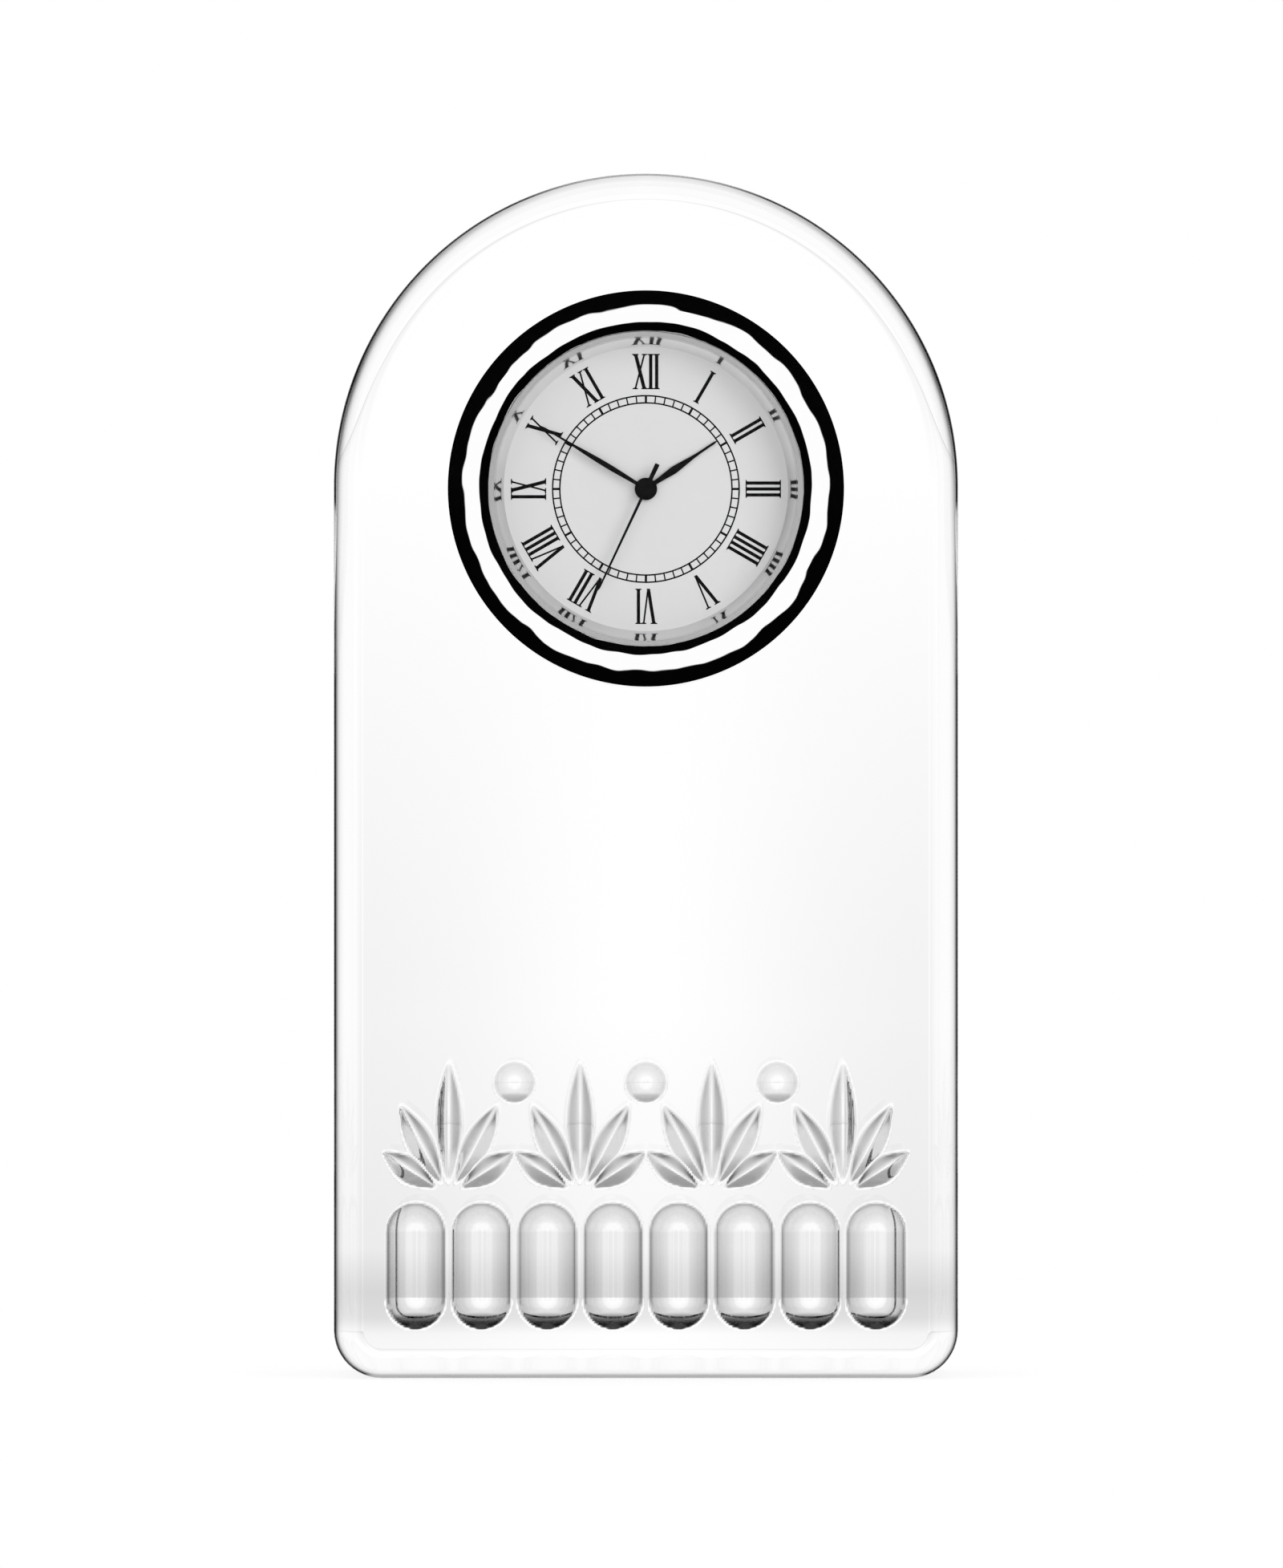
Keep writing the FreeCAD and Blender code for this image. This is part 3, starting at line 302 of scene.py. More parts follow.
def band_depth(x, z):
    """How deep the cuts go at (x, z): the softly rounded greatest of zero and every cut,
    s * log(1 + sum of exp(depth / s))."""
    total = np.ones_like(x)
    for foot in evenly(FAN_COUNT, FAN_PITCH):
        for turn, length in zip(LEAF_TURNS, LEAF_LENGTHS):
            total += np.exp(leaf_depth(x, z, foot, turn, length) / EDGE_SOFTNESS)
    ball = (BEAD_RADIUS**2 + BEAD_DEPTH**2) / (2 * BEAD_DEPTH)
    for middle in evenly(FAN_COUNT - 1, FAN_PITCH):
        total += np.exp(ball_depth(x, z, middle, BEAD_Z, BEAD_Z, ball, BEAD_DEPTH) / EDGE_SOFTNESS)
    reach = math.sqrt(FLUTE_RADIUS**2 - (FLUTE_RADIUS - FLUTE_DEPTH) ** 2)
    low, high = FLUTE_LOW_Z + reach, FLUTE_HIGH_Z - reach
    for middle in evenly(2 * FAN_COUNT, FAN_PITCH / 2):
        total += np.exp(ball_depth(x, z, middle, low, high, FLUTE_RADIUS, FLUTE_DEPTH) / EDGE_SOFTNESS)
    return EDGE_SOFTNESS * np.log(total)


def band_patch():
    """The cut band as a grid over the front face, each point sunk by band_depth, with normals from its
    slopes. Its rim comes with it, for the face around it."""
    columns = round(2 * BAND_HALF_WIDTH / BAND_STEP)
    rows = round((BAND_HIGH_Z - BAND_LOW_Z) / BAND_STEP)
    across = np.linspace(-BAND_HALF_WIDTH, BAND_HALF_WIDTH, columns + 1)
    upward = np.linspace(BAND_LOW_Z, BAND_HIGH_Z, rows + 1)
    x, z = np.meshgrid(across, upward)
    depth = band_depth(x, z)
    depth[[0, -1]] = 0
    depth[:, [0, -1]] = 0
    slope_x = (band_depth(x + SLOPE_STEP, z) - band_depth(x - SLOPE_STEP, z)) / (2 * SLOPE_STEP)
    slope_z = (band_depth(x, z + SLOPE_STEP) - band_depth(x, z - SLOPE_STEP)) / (2 * SLOPE_STEP)
    normals = np.stack([slope_x, -np.ones_like(x), slope_z], 2)
    normals /= np.linalg.norm(normals, axis=2, keepdims=True)
    points = np.stack([x * MM, FACE_Y + depth * MM, z * MM], 2)
    flat = points[..., [0, 2]]
    rim = np.concatenate([flat[0, :-1], flat[:-1, -1], flat[-1, :0:-1], flat[:0:-1, 0]])
    return rim, grid_patch(points, normals)


def wall_grid():
    """The wall around the block with both rounded edges: at turn t from a face, an edge of radius r lies
    r * (1 - sin t) inside the outline and r * (1 - cos t) off the face."""
    outline, out = block_outline()
    front = np.linspace(0, np.pi / 2, ROUND_POINTS)[:, None]
    back = front[::-2]
    inset = np.concatenate([FRONT_ROUND * (1 - np.sin(front)), BACK_ROUND * (1 - np.sin(back))])
    front_y = FACE_Y + FRONT_ROUND * (1 - np.cos(front))
    back_y = -FACE_Y - BACK_ROUND * (1 - np.cos(back))
    sideways = np.concatenate([np.sin(front), np.sin(back)])
    forward = np.concatenate([-np.cos(front), np.cos(back)])
    x = outline[:, 0] - inset * out[:, 0]
    z = outline[:, 1] - inset * out[:, 1]
    points = np.stack([x, np.concatenate([front_y, back_y]) + 0 * x, z], 2)
    normals = np.stack([sideways * out[:, 0], forward + 0 * x, sideways * out[:, 1]], 2)
    return points, normals


def bore_patches():
    """The bore between two chamfers, with its faces towards the dial's axis."""
    wide = BORE_RADIUS + BORE_CHAMFER
    front, back = FACE_Y + BORE_CHAMFER, -FACE_Y - BORE_CHAMFER
    lean = math.sqrt(0.5)
    return lathe_patches([
        [(wide, FACE_Y, -lean, -lean), (BORE_RADIUS, front, -lean, -lean)],
        [(BORE_RADIUS, front, -1, 0), (BORE_RADIUS, back, -1, 0)],
        [(BORE_RADIUS, back, -lean, lean), (wide, -FACE_Y, -lean, lean)],
    ])


def crystal_patches():
    """Wall, cut band, front and back face, and bore."""
    points, normals = wall_grid()
    front_rim = points[0][:, [0, 2]]
    back_rim = points[-1][:, [0, 2]]
    band_rim, band = band_patch()
    turn = np.linspace(0, 2 * np.pi, LATHE_POINTS, endpoint=False)
    mouth = np.stack([np.cos(turn), np.sin(turn)], 1) * (BORE_RADIUS + BORE_CHAMFER) + [0, DIAL_Z]

    def on_front(spots):
        """Which spots lie on the front face, outside the bore and the band."""
        return within(front_rim, spots) & ~within(mouth, spots) & ~within(band_rim, spots)

    def on_back(spots):
        """Which spots lie on the back face, outside the bore."""
        return within(back_rim, spots) & ~within(mouth, spots)

    return [
        grid_patch(points, normals, True),
        band,
        flat_patch([front_rim, mouth, band_rim], FACE_Y, -1.0, on_front),
        flat_patch([back_rim, mouth], -FACE_Y, 1.0, on_back),
        *bore_patches(),
    ]


# Nodes that materials and light are made of

FLOAT, COLOUR, VECTOR = "NodeSocketFloat", "NodeSocketColor", "NodeSocketVector"


def group(name, inputs, outputs):
    """An empty shader node group with named sockets, and its input and output nodes."""
    tree = bpy.data.node_groups.new(name, "ShaderNodeTree")
    for label, kind, value in inputs:
        socket = tree.interface.new_socket(label, in_out="INPUT", socket_type=kind)
        socket.default_value = value
    for label, kind in outputs:
        tree.interface.new_socket(label, in_out="OUTPUT", socket_type=kind)
    return tree, tree.nodes.new("NodeGroupInput"), tree.nodes.new("NodeGroupOutput")


def put(tree, kind, **values):
    """A node with plain values on its settings or sockets, by name."""
    node = tree.nodes.new(kind)
    for label, value in values.items():
        if hasattr(node, label):
            setattr(node, label, value)
        else:
            node.inputs[label.replace("_", " ")].default_value = value
    return node


def spot(tree, which="Object"):
    """The place on the surface, or the world's direction where which is Generated."""
    return put(tree, "ShaderNodeTexCoord").outputs[which]


def axes(tree, vector):
    """The X, Y and Z of a vector."""
    split = put(tree, "ShaderNodeSeparateXYZ")
    tree.links.new(vector, split.inputs[0])
    return split.outputs


def figure(tree, operation, *values):
    """One step of arithmetic on sockets and plain numbers."""
    node = put(tree, "ShaderNodeMath", operation=operation)
    for number, value in enumerate(values):
        if isinstance(value, float):
            node.inputs[number].default_value = value
        else:
            tree.links.new(value, node.inputs[number])
    return node.outputs[0]


def grey_ramp(tree, source, low, high, stops):
    """Grey by a value from low to high, through stops of (value, grey)."""
    node = put(tree, "ShaderNodeMapRange", clamp=True, From_Min=low, From_Max=high, To_Min=0.0, To_Max=1.0)
    tree.links.new(source, node.inputs["Value"])
    colours = put(tree, "ShaderNodeValToRGB")
    row = colours.color_ramp
    while len(row.elements) < len(stops):
        row.elements.new(0.5)
    for element, (value, grey) in zip(row.elements, stops):
        element.position = (value - low) / (high - low)
        element.color = (grey, grey, grey, 1)
    tree.links.new(node.outputs["Result"], colours.inputs["Fac"])
    return colours.outputs["Color"]


def make_fine_grain():
    """Fine mottling: a noise of Size per metre moves a value within a span of Amount, and gives a height."""
    tree, enter, leave = group(
        "fine_grain",
        [("Size", FLOAT, 900.0), ("Detail", FLOAT, 4.0), ("Value", FLOAT, 0.4), ("Amount", FLOAT, 0.1)],
        [("Value", FLOAT), ("Height", FLOAT)],
    )
    noise = put(tree, "ShaderNodeTexNoise", Roughness=0.5)
    tree.links.new(enter.outputs["Detail"], noise.inputs["Detail"])
    tree.links.new(spot(tree), noise.inputs["Vector"])
    tree.links.new(enter.outputs["Size"], noise.inputs["Scale"])
    centred = figure(tree, "SUBTRACT", noise.outputs["Fac"], 0.5)
    moved = figure(tree, "MULTIPLY_ADD", centred, enter.outputs["Amount"], enter.outputs["Value"])
    tree.links.new(moved, leave.inputs["Value"])
    tree.links.new(noise.outputs["Fac"], leave.inputs["Height"])
    return tree


def make_brushed():
    """Brushing: a noise stretched by Stretch raises a value by up to Amount, and gives a height too."""
    tree, enter, leave = group(
        "brushed_lines",
        [("Stretch", VECTOR, (60.0, 3000.0, 3000.0)), ("Value", FLOAT, 0.3), ("Amount", FLOAT, 0.15)],
        [("Value", FLOAT), ("Height", FLOAT)],
    )
    stretch = put(tree, "ShaderNodeVectorMath", operation="MULTIPLY")
    tree.links.new(spot(tree), stretch.inputs[0])
    tree.links.new(enter.outputs["Stretch"], stretch.inputs[1])
    noise = put(tree, "ShaderNodeTexNoise", Scale=1.0, Detail=3.0)
    tree.links.new(stretch.outputs[0], noise.inputs["Vector"])
    lines = noise.outputs["Fac"]
    raised = figure(tree, "MULTIPLY_ADD", lines, enter.outputs["Amount"], enter.outputs["Value"])
    tree.links.new(raised, leave.inputs["Value"])
    tree.links.new(lines, leave.inputs["Height"])
    return tree


def make_soft_mottle():
    """Two colours mixed by a soft noise of Size per metre, so that no surface has one flat colour."""
    tree, enter, leave = group(
        "soft_mottle",
        [
            ("Size", FLOAT, 300.0),
            ("First", COLOUR, (0.5, 0.5, 0.5, 1)),
            ("Second", COLOUR, (0.6, 0.6, 0.6, 1)),
        ],
        [("Color", COLOUR)],
    )
    noise = put(tree, "ShaderNodeTexNoise", Detail=2.0)
    tree.links.new(spot(tree), noise.inputs["Vector"])
    tree.links.new(enter.outputs["Size"], noise.inputs["Scale"])
    mix = put(tree, "ShaderNodeMix", data_type="RGBA")
    tree.links.new(noise.outputs["Fac"], mix.inputs["Factor"])
    tree.links.new(enter.outputs["First"], mix.inputs[6])
    tree.links.new(enter.outputs["Second"], mix.inputs[7])
    tree.links.new(mix.outputs[2], leave.inputs["Color"])
    return tree


fine_grain = make_fine_grain()
brushed_lines = make_brushed()
soft_mottle = make_soft_mottle()


# Materials

# Grey ramps are (from, to, stops of (value, grey)). Depths and places are in millimetres, turns in radians.
# Painted shade on the crystal: the next six ramps grey the glass's colour along its front edge and in its
# cuts, in place of the darkening that refraction gives.
EDGE_SHADE_BY_DEPTH = (0.0, 10.0, (
    (0.9, 0.0), (1.45, 0.22), (1.74, 0.47), (2.06, 0.77), (2.44, 0.93), (2.9, 0.97), (4.4, 0.97), (5.0, 0.5),
    (6.5, 0.0),
))
EDGE_SHADE_BY_TURN = (-0.5, 1.6, (
    (-0.5, 0.0), (-0.2, 0.15), (0.1, 0.6), (0.35, 0.97), (0.8, 0.62), (1.05, 0.42), (1.3, 0.12), (1.57, 0.0),
))
CUT_SHADE_BY_STEEPNESS = (0.0, 1.0, (
    (0.10, 0.62), (0.25, 0.66), (0.36, 0.60), (0.50, 0.40), (0.65, 0.38), (0.80, 0.34), (0.92, 0.18),
    (0.99, 0.0),
))
CUT_SHADE_BY_UPTURN = (0.0, 1.0, ((0.30, 0.0), (0.45, 0.30), (0.60, 0.82), (0.75, 0.97), (0.9, 0.99)))
CUT_SHADE_BY_WIDTH = (38.0, 43.0, ((41.0, 1.0), (41.6, 0.0)))
CUT_SHADE_BY_HEIGHT = (0.0, 60.0, (
    (4.6, 0.0), (5.2, 1.0), (14.0, 1.0), (25.0, 0.72), (28.0, 0.62), (52.0, 0.5), (54.0, 0.0),
))
RIM_BY_REACH = (20.0, 25.0, ((22.22, 1.0), (22.32, 0.5)))
WAVE_BY_REACH = (20.0, 30.0, ((26.6, 1.0), (28.8, 0.1)))
LEAN_BY_REACH = (20.0, 30.0, ((23.9, 0.0), (25.0, 0.20)))
SWELL_SIZE = 170.0
SWELL_HEIGHT = 0.5 * MM
HAZE_SIZE = 700.0
HAZE_ROUGHNESS = 0.035
HAZE_SPAN = 0.03
GRAIN_PER_MOTTLE = 3


def place_group(tree, what, **values):
    """Places a node group with its own values."""
    node = tree.nodes.new("ShaderNodeGroup")
    node.node_tree = what
    for label, value in values.items():
        node.inputs[label].default_value = value
    return node


def base_material(name, metallic=0.0, ior=1.5, specular=0.5):
    """A material with its tree and shader, and the values that are the same all over it."""
    material = bpy.data.materials.new(name)
    material.use_nodes = True
    tree = material.node_tree
    shader = tree.nodes["Principled BSDF"]
    shader.inputs["Metallic"].default_value = metallic
    shader.inputs["IOR"].default_value = ior
    shader.inputs["Specular IOR Level"].default_value = specular
    return material, tree, shader


def shade(colour, factor):
    """A colour made lighter or darker by a factor, with its alpha."""
    return tuple(min(1.0, c * factor) for c in colour) + (1.0,)


def finish(name, colour, rough, vary, size, metallic=0.0, mottle=0.06, bump=0.0, brushed=None, specular=0.5):
    """A surface with mottled colour, a roughness that varies over it, and a fine bump. The grain's size is
    per metre, and brushed stretches the grain into lines."""
    material, tree, shader = base_material(name, metallic, specular=specular)
    darker, lighter = shade(colour, 1 - mottle), shade(colour, 1 + mottle)
    tint = place_group(tree, soft_mottle, Size=size / GRAIN_PER_MOTTLE, First=darker, Second=lighter)
    tree.links.new(tint.outputs["Color"], shader.inputs["Base Color"])
    if brushed:
        grain = place_group(tree, brushed_lines, Stretch=brushed, Value=rough, Amount=vary)
    else:
        grain = place_group(tree, fine_grain, Size=size, Value=rough, Amount=vary)
    tree.links.new(grain.outputs["Value"], shader.inputs["Roughness"])
    if bump:
        raised = put(tree, "ShaderNodeBump", Strength=1.0, Distance=bump)
        tree.links.new(grain.outputs["Height"], raised.inputs["Height"])
        tree.links.new(raised.outputs["Normal"], shader.inputs["Normal"])
    return material


def clear_glass(name, ior, tint, passed):
    """Polished glass. Rays from lamps pass through with a faint tint, so that what stands in it and behind it
    is lit."""
    material, tree, shader = base_material(name, ior=ior)
    shader.inputs["Base Color"].default_value = tint + (1.0,)
    shader.inputs["Transmission Weight"].default_value = 1.0
    shader.inputs["Roughness"].default_value = 0.0
    through = put(tree, "ShaderNodeBsdfTransparent", Color=passed + (1.0,))
    path = put(tree, "ShaderNodeLightPath")
    mix = put(tree, "ShaderNodeMixShader")
    tree.links.new(path.outputs["Is Shadow Ray"], mix.inputs[0])
    tree.links.new(shader.outputs[0], mix.inputs[1])
    tree.links.new(through.outputs[0], mix.inputs[2])
    tree.links.new(mix.outputs[0], tree.nodes["Material Output"].inputs["Surface"])
    return material


def painted_edge_shade(tree, place):
    """How clear the painted shade line around the front edge of the arch leaves the glass: a dark line in
    its colour that stands in for refraction. It is darkest over the shoulders and lightest at the top."""
    depth = figure(tree, "MULTIPLY", figure(tree, "SUBTRACT", place["Y"], FACE_Y), 1 / MM)
    line = grey_ramp(tree, depth, *EDGE_SHADE_BY_DEPTH)
    rise = figure(tree, "SUBTRACT", place["Z"], ARCH_Z)
    turn = figure(tree, "ARCTAN2", rise, figure(tree, "ABSOLUTE", place["X"]))
    share = grey_ramp(tree, turn, *EDGE_SHADE_BY_TURN)
    return figure(tree, "SUBTRACT", 1.0, figure(tree, "MULTIPLY", line, share))


def painted_cut_shade(tree, place):
    """Painted shade in the cuts, in place of the darkening that refraction gives: by how steep they are, and
    more where they face upwards, within the band.
    """
    surface = put(tree, "ShaderNodeNewGeometry")
    facing = axes(tree, surface.outputs["Normal"])
    steep = grey_ramp(tree, figure(tree, "ABSOLUTE", facing["Y"]), *CUT_SHADE_BY_STEEPNESS)
    upturned = grey_ramp(tree, facing["Z"], *CUT_SHADE_BY_UPTURN)
    beside = figure(tree, "DIVIDE", figure(tree, "ABSOLUTE", place["X"]), MM)
    above = figure(tree, "DIVIDE", place["Z"], MM)
    in_width = grey_ramp(tree, beside, *CUT_SHADE_BY_WIDTH)
    in_height = grey_ramp(tree, above, *CUT_SHADE_BY_HEIGHT)
    in_band = figure(tree, "MULTIPLY", in_width, in_height)
    return figure(tree, "MULTIPLY", figure(tree, "MAXIMUM", steep, upturned), in_band)


def paint_crystal_shade(material):
    """Paints shade into the glass's colour in its cuts and along the front edge of the arch, where refraction
    would darken it, squared for a deeper tone.
    """
    tree = material.node_tree
    place = axes(tree, spot(tree))
    cut_unshaded = figure(tree, "SUBTRACT", 1.0, painted_cut_shade(tree, place))
    clear = figure(tree, "MULTIPLY", painted_edge_shade(tree, place), cut_unshaded)
    squared = figure(tree, "MULTIPLY", clear, clear)
    tree.links.new(squared, tree.nodes["Principled BSDF"].inputs["Base Color"])


def dial_reach(tree):
    """The distance from the dial's axis, in millimetres."""
    centred = put(tree, "ShaderNodeVectorMath", operation="SUBTRACT")
    centred.inputs[1].default_value = (0.0, 0.0, DIAL_Z)
    flat = put(tree, "ShaderNodeVectorMath", operation="MULTIPLY")
    flat.inputs[1].default_value = (1 / MM, 0.0, 1 / MM)
    reach = put(tree, "ShaderNodeVectorMath", operation="LENGTH")
    tree.links.new(spot(tree), centred.inputs[0])
    tree.links.new(centred.outputs[0], flat.inputs[0])
    tree.links.new(flat.outputs[0], reach.inputs[0])
    return reach.outputs["Value"]


def dull_rim(material):
    """Turns the reflector's flat rim, which isn't polished like its cone, to a darker grey."""
    tree = material.node_tree
    target = tree.nodes["Principled BSDF"].inputs["Base Color"]
    mixed = put(tree, "ShaderNodeMix", data_type="RGBA", blend_type="MULTIPLY", Factor=1.0)
    tree.links.new(target.links[0].from_socket, mixed.inputs[6])
    tree.links.new(grey_ramp(tree, dial_reach(tree), *RIM_BY_REACH), mixed.inputs[7])
    tree.links.new(mixed.outputs[2], target)


def polished_metal(name, colour):
    """Mirror plating over hand-polished metal: a slow swell bends the reflections and calms down towards the
    outer edge, the inner side leans in a little more, and a fine haze varies the polish."""
    material, tree, shader = base_material(name, 1.0)
    shader.inputs["Base Color"].default_value = colour + (1.0,)
    haze = place_group(tree, fine_grain, Size=HAZE_SIZE, Value=HAZE_ROUGHNESS, Amount=HAZE_SPAN)
    tree.links.new(haze.outputs["Value"], shader.inputs["Roughness"])
    swell = place_group(tree, fine_grain, Size=SWELL_SIZE, Detail=1.0, Value=0.0, Amount=0.0)
    raised = put(tree, "ShaderNodeBump", Strength=1.0, Distance=SWELL_HEIGHT)
    reach = dial_reach(tree)
    calm = grey_ramp(tree, reach, *WAVE_BY_REACH)
    wave = figure(tree, "MULTIPLY", figure(tree, "SUBTRACT", swell.outputs["Height"], 0.5), calm)
    inward = grey_ramp(tree, reach, *LEAN_BY_REACH)
    tree.links.new(figure(tree, "ADD", wave, inward), raised.inputs["Height"])
    tree.links.new(raised.outputs["Normal"], shader.inputs["Normal"])
    return material


crystal_glass = clear_glass("crystal_glass", ior=1.545, tint=(1.0, 1.0, 1.0), passed=(0.96, 0.965, 0.965))
# The crystal's colour carries painted shade along its front edge and in its cuts.
paint_crystal_shade(crystal_glass)
lens_glass = clear_glass("lens_glass", ior=1.1, tint=(0.99, 0.99, 0.99), passed=(0.97, 0.97, 0.97))
polished_bezel = polished_metal("polished_bezel", (0.985, 0.985, 0.985))
reflector_metal = finish(
    "reflector_metal", (0.86, 0.86, 0.865), rough=0.10, vary=0.05, size=1500.0, metallic=1.0, mottle=0.02,
)
dull_rim(reflector_metal)
dial_silver = finish(
    "dial_silver", (0.68, 0.68, 0.685), rough=0.38, vary=0.10, size=2600.0, metallic=0.15, mottle=0.012,
    bump=0.002 * MM,
)
dial_ink = finish(
    "dial_ink", (0.003, 0.003, 0.003), rough=0.50, vary=0.10, size=2500.0, mottle=0.1, specular=0.04,
)
hand_black = finish(
    "hand_black", (0.003, 0.003, 0.003), rough=0.30, vary=0.12, size=2200.0, mottle=0.1, specular=0.04,
)
seal_rubber = finish(
    "seal_rubber", (0.62, 0.62, 0.61), rough=0.60, vary=0.15, size=2500.0, mottle=0.15, bump=0.01 * MM,
)
case_steel = finish(
    "case_steel", (0.60, 0.60, 0.61), rough=0.22, vary=0.20, size=900.0, metallic=1.0, mottle=0.03,
    bump=0.003 * MM, brushed=(2600.0, 70.0, 2600.0),
)
band_rubber = finish(
    "band_rubber", (0.030, 0.030, 0.032), rough=0.72, vary=0.20, size=1800.0, mottle=0.15, bump=0.02 * MM,
)
cover_plastic = finish(
    "cover_plastic", (0.030, 0.030, 0.033), rough=0.48, vary=0.18, size=3200.0, mottle=0.12, bump=0.02 * MM,
)
screw_steel = finish(
    "screw_steel", (0.66, 0.66, 0.67), rough=0.20, vary=0.15, size=2500.0, metallic=1.0, mottle=0.03,
    bump=0.002 * MM,
)
battery_steel = finish(
    "battery_steel", (0.74, 0.74, 0.73), rough=0.20, vary=0.20, size=900.0, metallic=1.0, mottle=0.03,
    bump=0.002 * MM, brushed=(90.0, 2600.0, 2600.0),
)
contact_spring = finish(
    "contact_spring", (0.82, 0.70, 0.42), rough=0.25, vary=0.15, size=1500.0, metallic=1.0, mottle=0.05,
)
holder_plastic = finish(
    "holder_plastic", (0.78, 0.78, 0.76), rough=0.42, vary=0.15, size=2800.0, mottle=0.03, bump=0.01 * MM,
)
plate_brass = finish(
    "plate_brass", (0.80, 0.62, 0.30), rough=0.24, vary=0.18, size=900.0, metallic=1.0, mottle=0.05,
    bump=0.003 * MM, brushed=(70.0, 2600.0, 2600.0),
)
wheel_brass = finish(
    "wheel_brass", (0.83, 0.65, 0.31), rough=0.20, vary=0.12, size=2200.0, metallic=1.0, mottle=0.04,
)
magnetic_steel = finish(
    "magnetic_steel", (0.45, 0.45, 0.46), rough=0.32, vary=0.15, size=1800.0, metallic=1.0, mottle=0.06,
)
magnet_grey = finish(
    "magnet_grey", (0.16, 0.16, 0.17), rough=0.45, vary=0.15, size=2200.0, metallic=1.0, mottle=0.08,
)
copper_winding = finish(
    "copper_winding", (0.78, 0.33, 0.15), rough=0.25, vary=0.15, size=900.0, metallic=1.0, mottle=0.08,
    bump=0.04 * MM, brushed=(7000.0, 60.0, 60.0),
)
bobbin_plastic = finish("bobbin_plastic", (0.05, 0.05, 0.055), rough=0.25, vary=0.12, size=2200.0, mottle=0.1)
board_green = finish(
    "board_green", (0.02, 0.16, 0.06), rough=0.30, vary=0.15, size=1300.0, mottle=0.15, bump=0.005 * MM,
)
chip_black = finish(
    "chip_black", (0.02, 0.02, 0.021), rough=0.55, vary=0.15, size=2600.0, mottle=0.12, bump=0.01 * MM,
)
quartz_steel = finish(
    "quartz_steel", (0.70, 0.70, 0.71), rough=0.18, vary=0.12, size=1600.0, metallic=1.0, mottle=0.03,
)

node_finish = {
    "crystal_body": crystal_glass, "bezel": polished_bezel, "lens": lens_glass, "lens_gasket": seal_rubber,
    "reflector_ring": reflector_metal, "dial": dial_silver, "hour_hand": hand_black,
    "minute_hand": hand_black, "seconds_hand": hand_black, "insert_case": case_steel,
    "friction_band": band_rubber,
    "case_back": cover_plastic, "case_screws": screw_steel, "battery_hatch": cover_plastic,
    "battery": battery_steel, "contact_positive": contact_spring, "contact_negative": contact_spring,
    "movement_holder": holder_plastic, "main_plate": plate_brass, "train_bridge": plate_brass,
    "bridge_screws": screw_steel, "stator": magnetic_steel, "coil_core": magnetic_steel,
    "coil_winding": copper_winding, "coil_flanges": bobbin_plastic, "rotor": magnet_grey,
    "fifth_wheel": wheel_brass, "seconds_wheel": wheel_brass, "third_wheel": wheel_brass,
    "centre_wheel": wheel_brass, "cannon_pinion": magnetic_steel, "minute_wheel": wheel_brass,
    "hour_wheel": wheel_brass, "set_shaft": screw_steel, "set_knob": cover_plastic,
    "circuit_board": board_green, "circuit_chip": chip_black, "quartz_can": quartz_steel,
}
for node_name, material in node_finish.items():
    nodes[node_name].data.materials.clear()
    nodes[node_name].data.materials.append(material)

piece("crystal_block", crystal_patches(), crystal_glass, "crystal", ["crystal_body"])


# Front of the insert

def at(radius, depth):
    """A profile's point in metres, from a radius and a depth in millimetres."""
    return radius * MM, FACE_Y + depth * MM


def open_profile(corners):
    """Straight stretches from corner to corner."""
    return [straight(at(*a), at(*b)) for a, b in zip(corners, corners[1:])]


def closed_profile(corners):
    """Straight stretches from corner to corner and back to the first."""
    return open_profile([*corners, corners[0]])


def crown_half(rim, rim_depth):
    """The crown from one rim up to its ridge, as an arc that is level at the ridge: its radius is
    (run^2 + rise^2) / (2 * rise)."""
    run = rim - BEZEL_RIDGE
    rise = rim_depth - RIDGE_DEPTH
    radius = (run**2 + rise**2) / (2 * rise)
    turn = np.linspace(math.asin(run / radius), 0, CROWN_POINTS)
    spots = [at(BEZEL_RIDGE + radius * math.sin(a), RIDGE_DEPTH + radius * (1 - math.cos(a))) for a in turn]
    return [(r, y, math.sin(a), -math.cos(a)) for (r, y), a in zip(spots, turn)]


def bezel_profile():
    """The crown from its shoulder over the ridge to its lip, then the lens seat and the collar that grips the
    case."""
    crown = crown_half(BEZEL_OUTER, SHOULDER_DEPTH) + crown_half(BEZEL_INNER, LIP_DEPTH)[-2::-1]
    return [crown] + open_profile([
        (BEZEL_INNER, LIP_DEPTH), (BEZEL_INNER, SEAT_DEPTH), (SEAT_RADIUS, SEAT_DEPTH),
        (SEAT_RADIUS, SEAT_BACK), (COLLAR_INNER, SEAT_BACK), (COLLAR_INNER, COLLAR_BACK),
        (COLLAR_OUTER, COLLAR_BACK), (COLLAR_OUTER, 0.0), (BEZEL_OUTER, 0.0), (BEZEL_OUTER, SHOULDER_DEPTH),
    ])


def lens_profile():
    """A disc with a bevelled front rim, from the axis out and back."""
    return open_profile([
        (0.0, LENS_BACK), (LENS_RADIUS, LENS_BACK), (LENS_RADIUS, SEAT_DEPTH), (LENS_BEVEL_OUTER, SEAT_DEPTH),
        (LENS_BEVEL_INNER, LENS_FACE), (0.0, LENS_FACE),
    ])


def reflector_profile():
    """A ring whose inner side is a cone that narrows towards the dial."""
    return closed_profile([
        (CONE_FOOT, DIAL_DEPTH), (RING_RADIUS, DIAL_DEPTH),
        (RING_RADIUS, RING_FRONT), (CONE_MOUTH, RING_FRONT),
    ])


bezel_patches = lathe_patches(bezel_profile(), BEZEL_POINTS)
lens_patches = lathe_patches(lens_profile())
reflector_patches = lathe_patches(reflector_profile())
piece("bezel_ring", bezel_patches, polished_bezel, "insert", ["bezel"])
piece("lens_disc", lens_patches, lens_glass, "insert", ["lens"])
piece("reflector_cone", reflector_patches, reflector_metal, "insert", ["reflector_ring"])


# Printing on the dial, and the cap of the hands

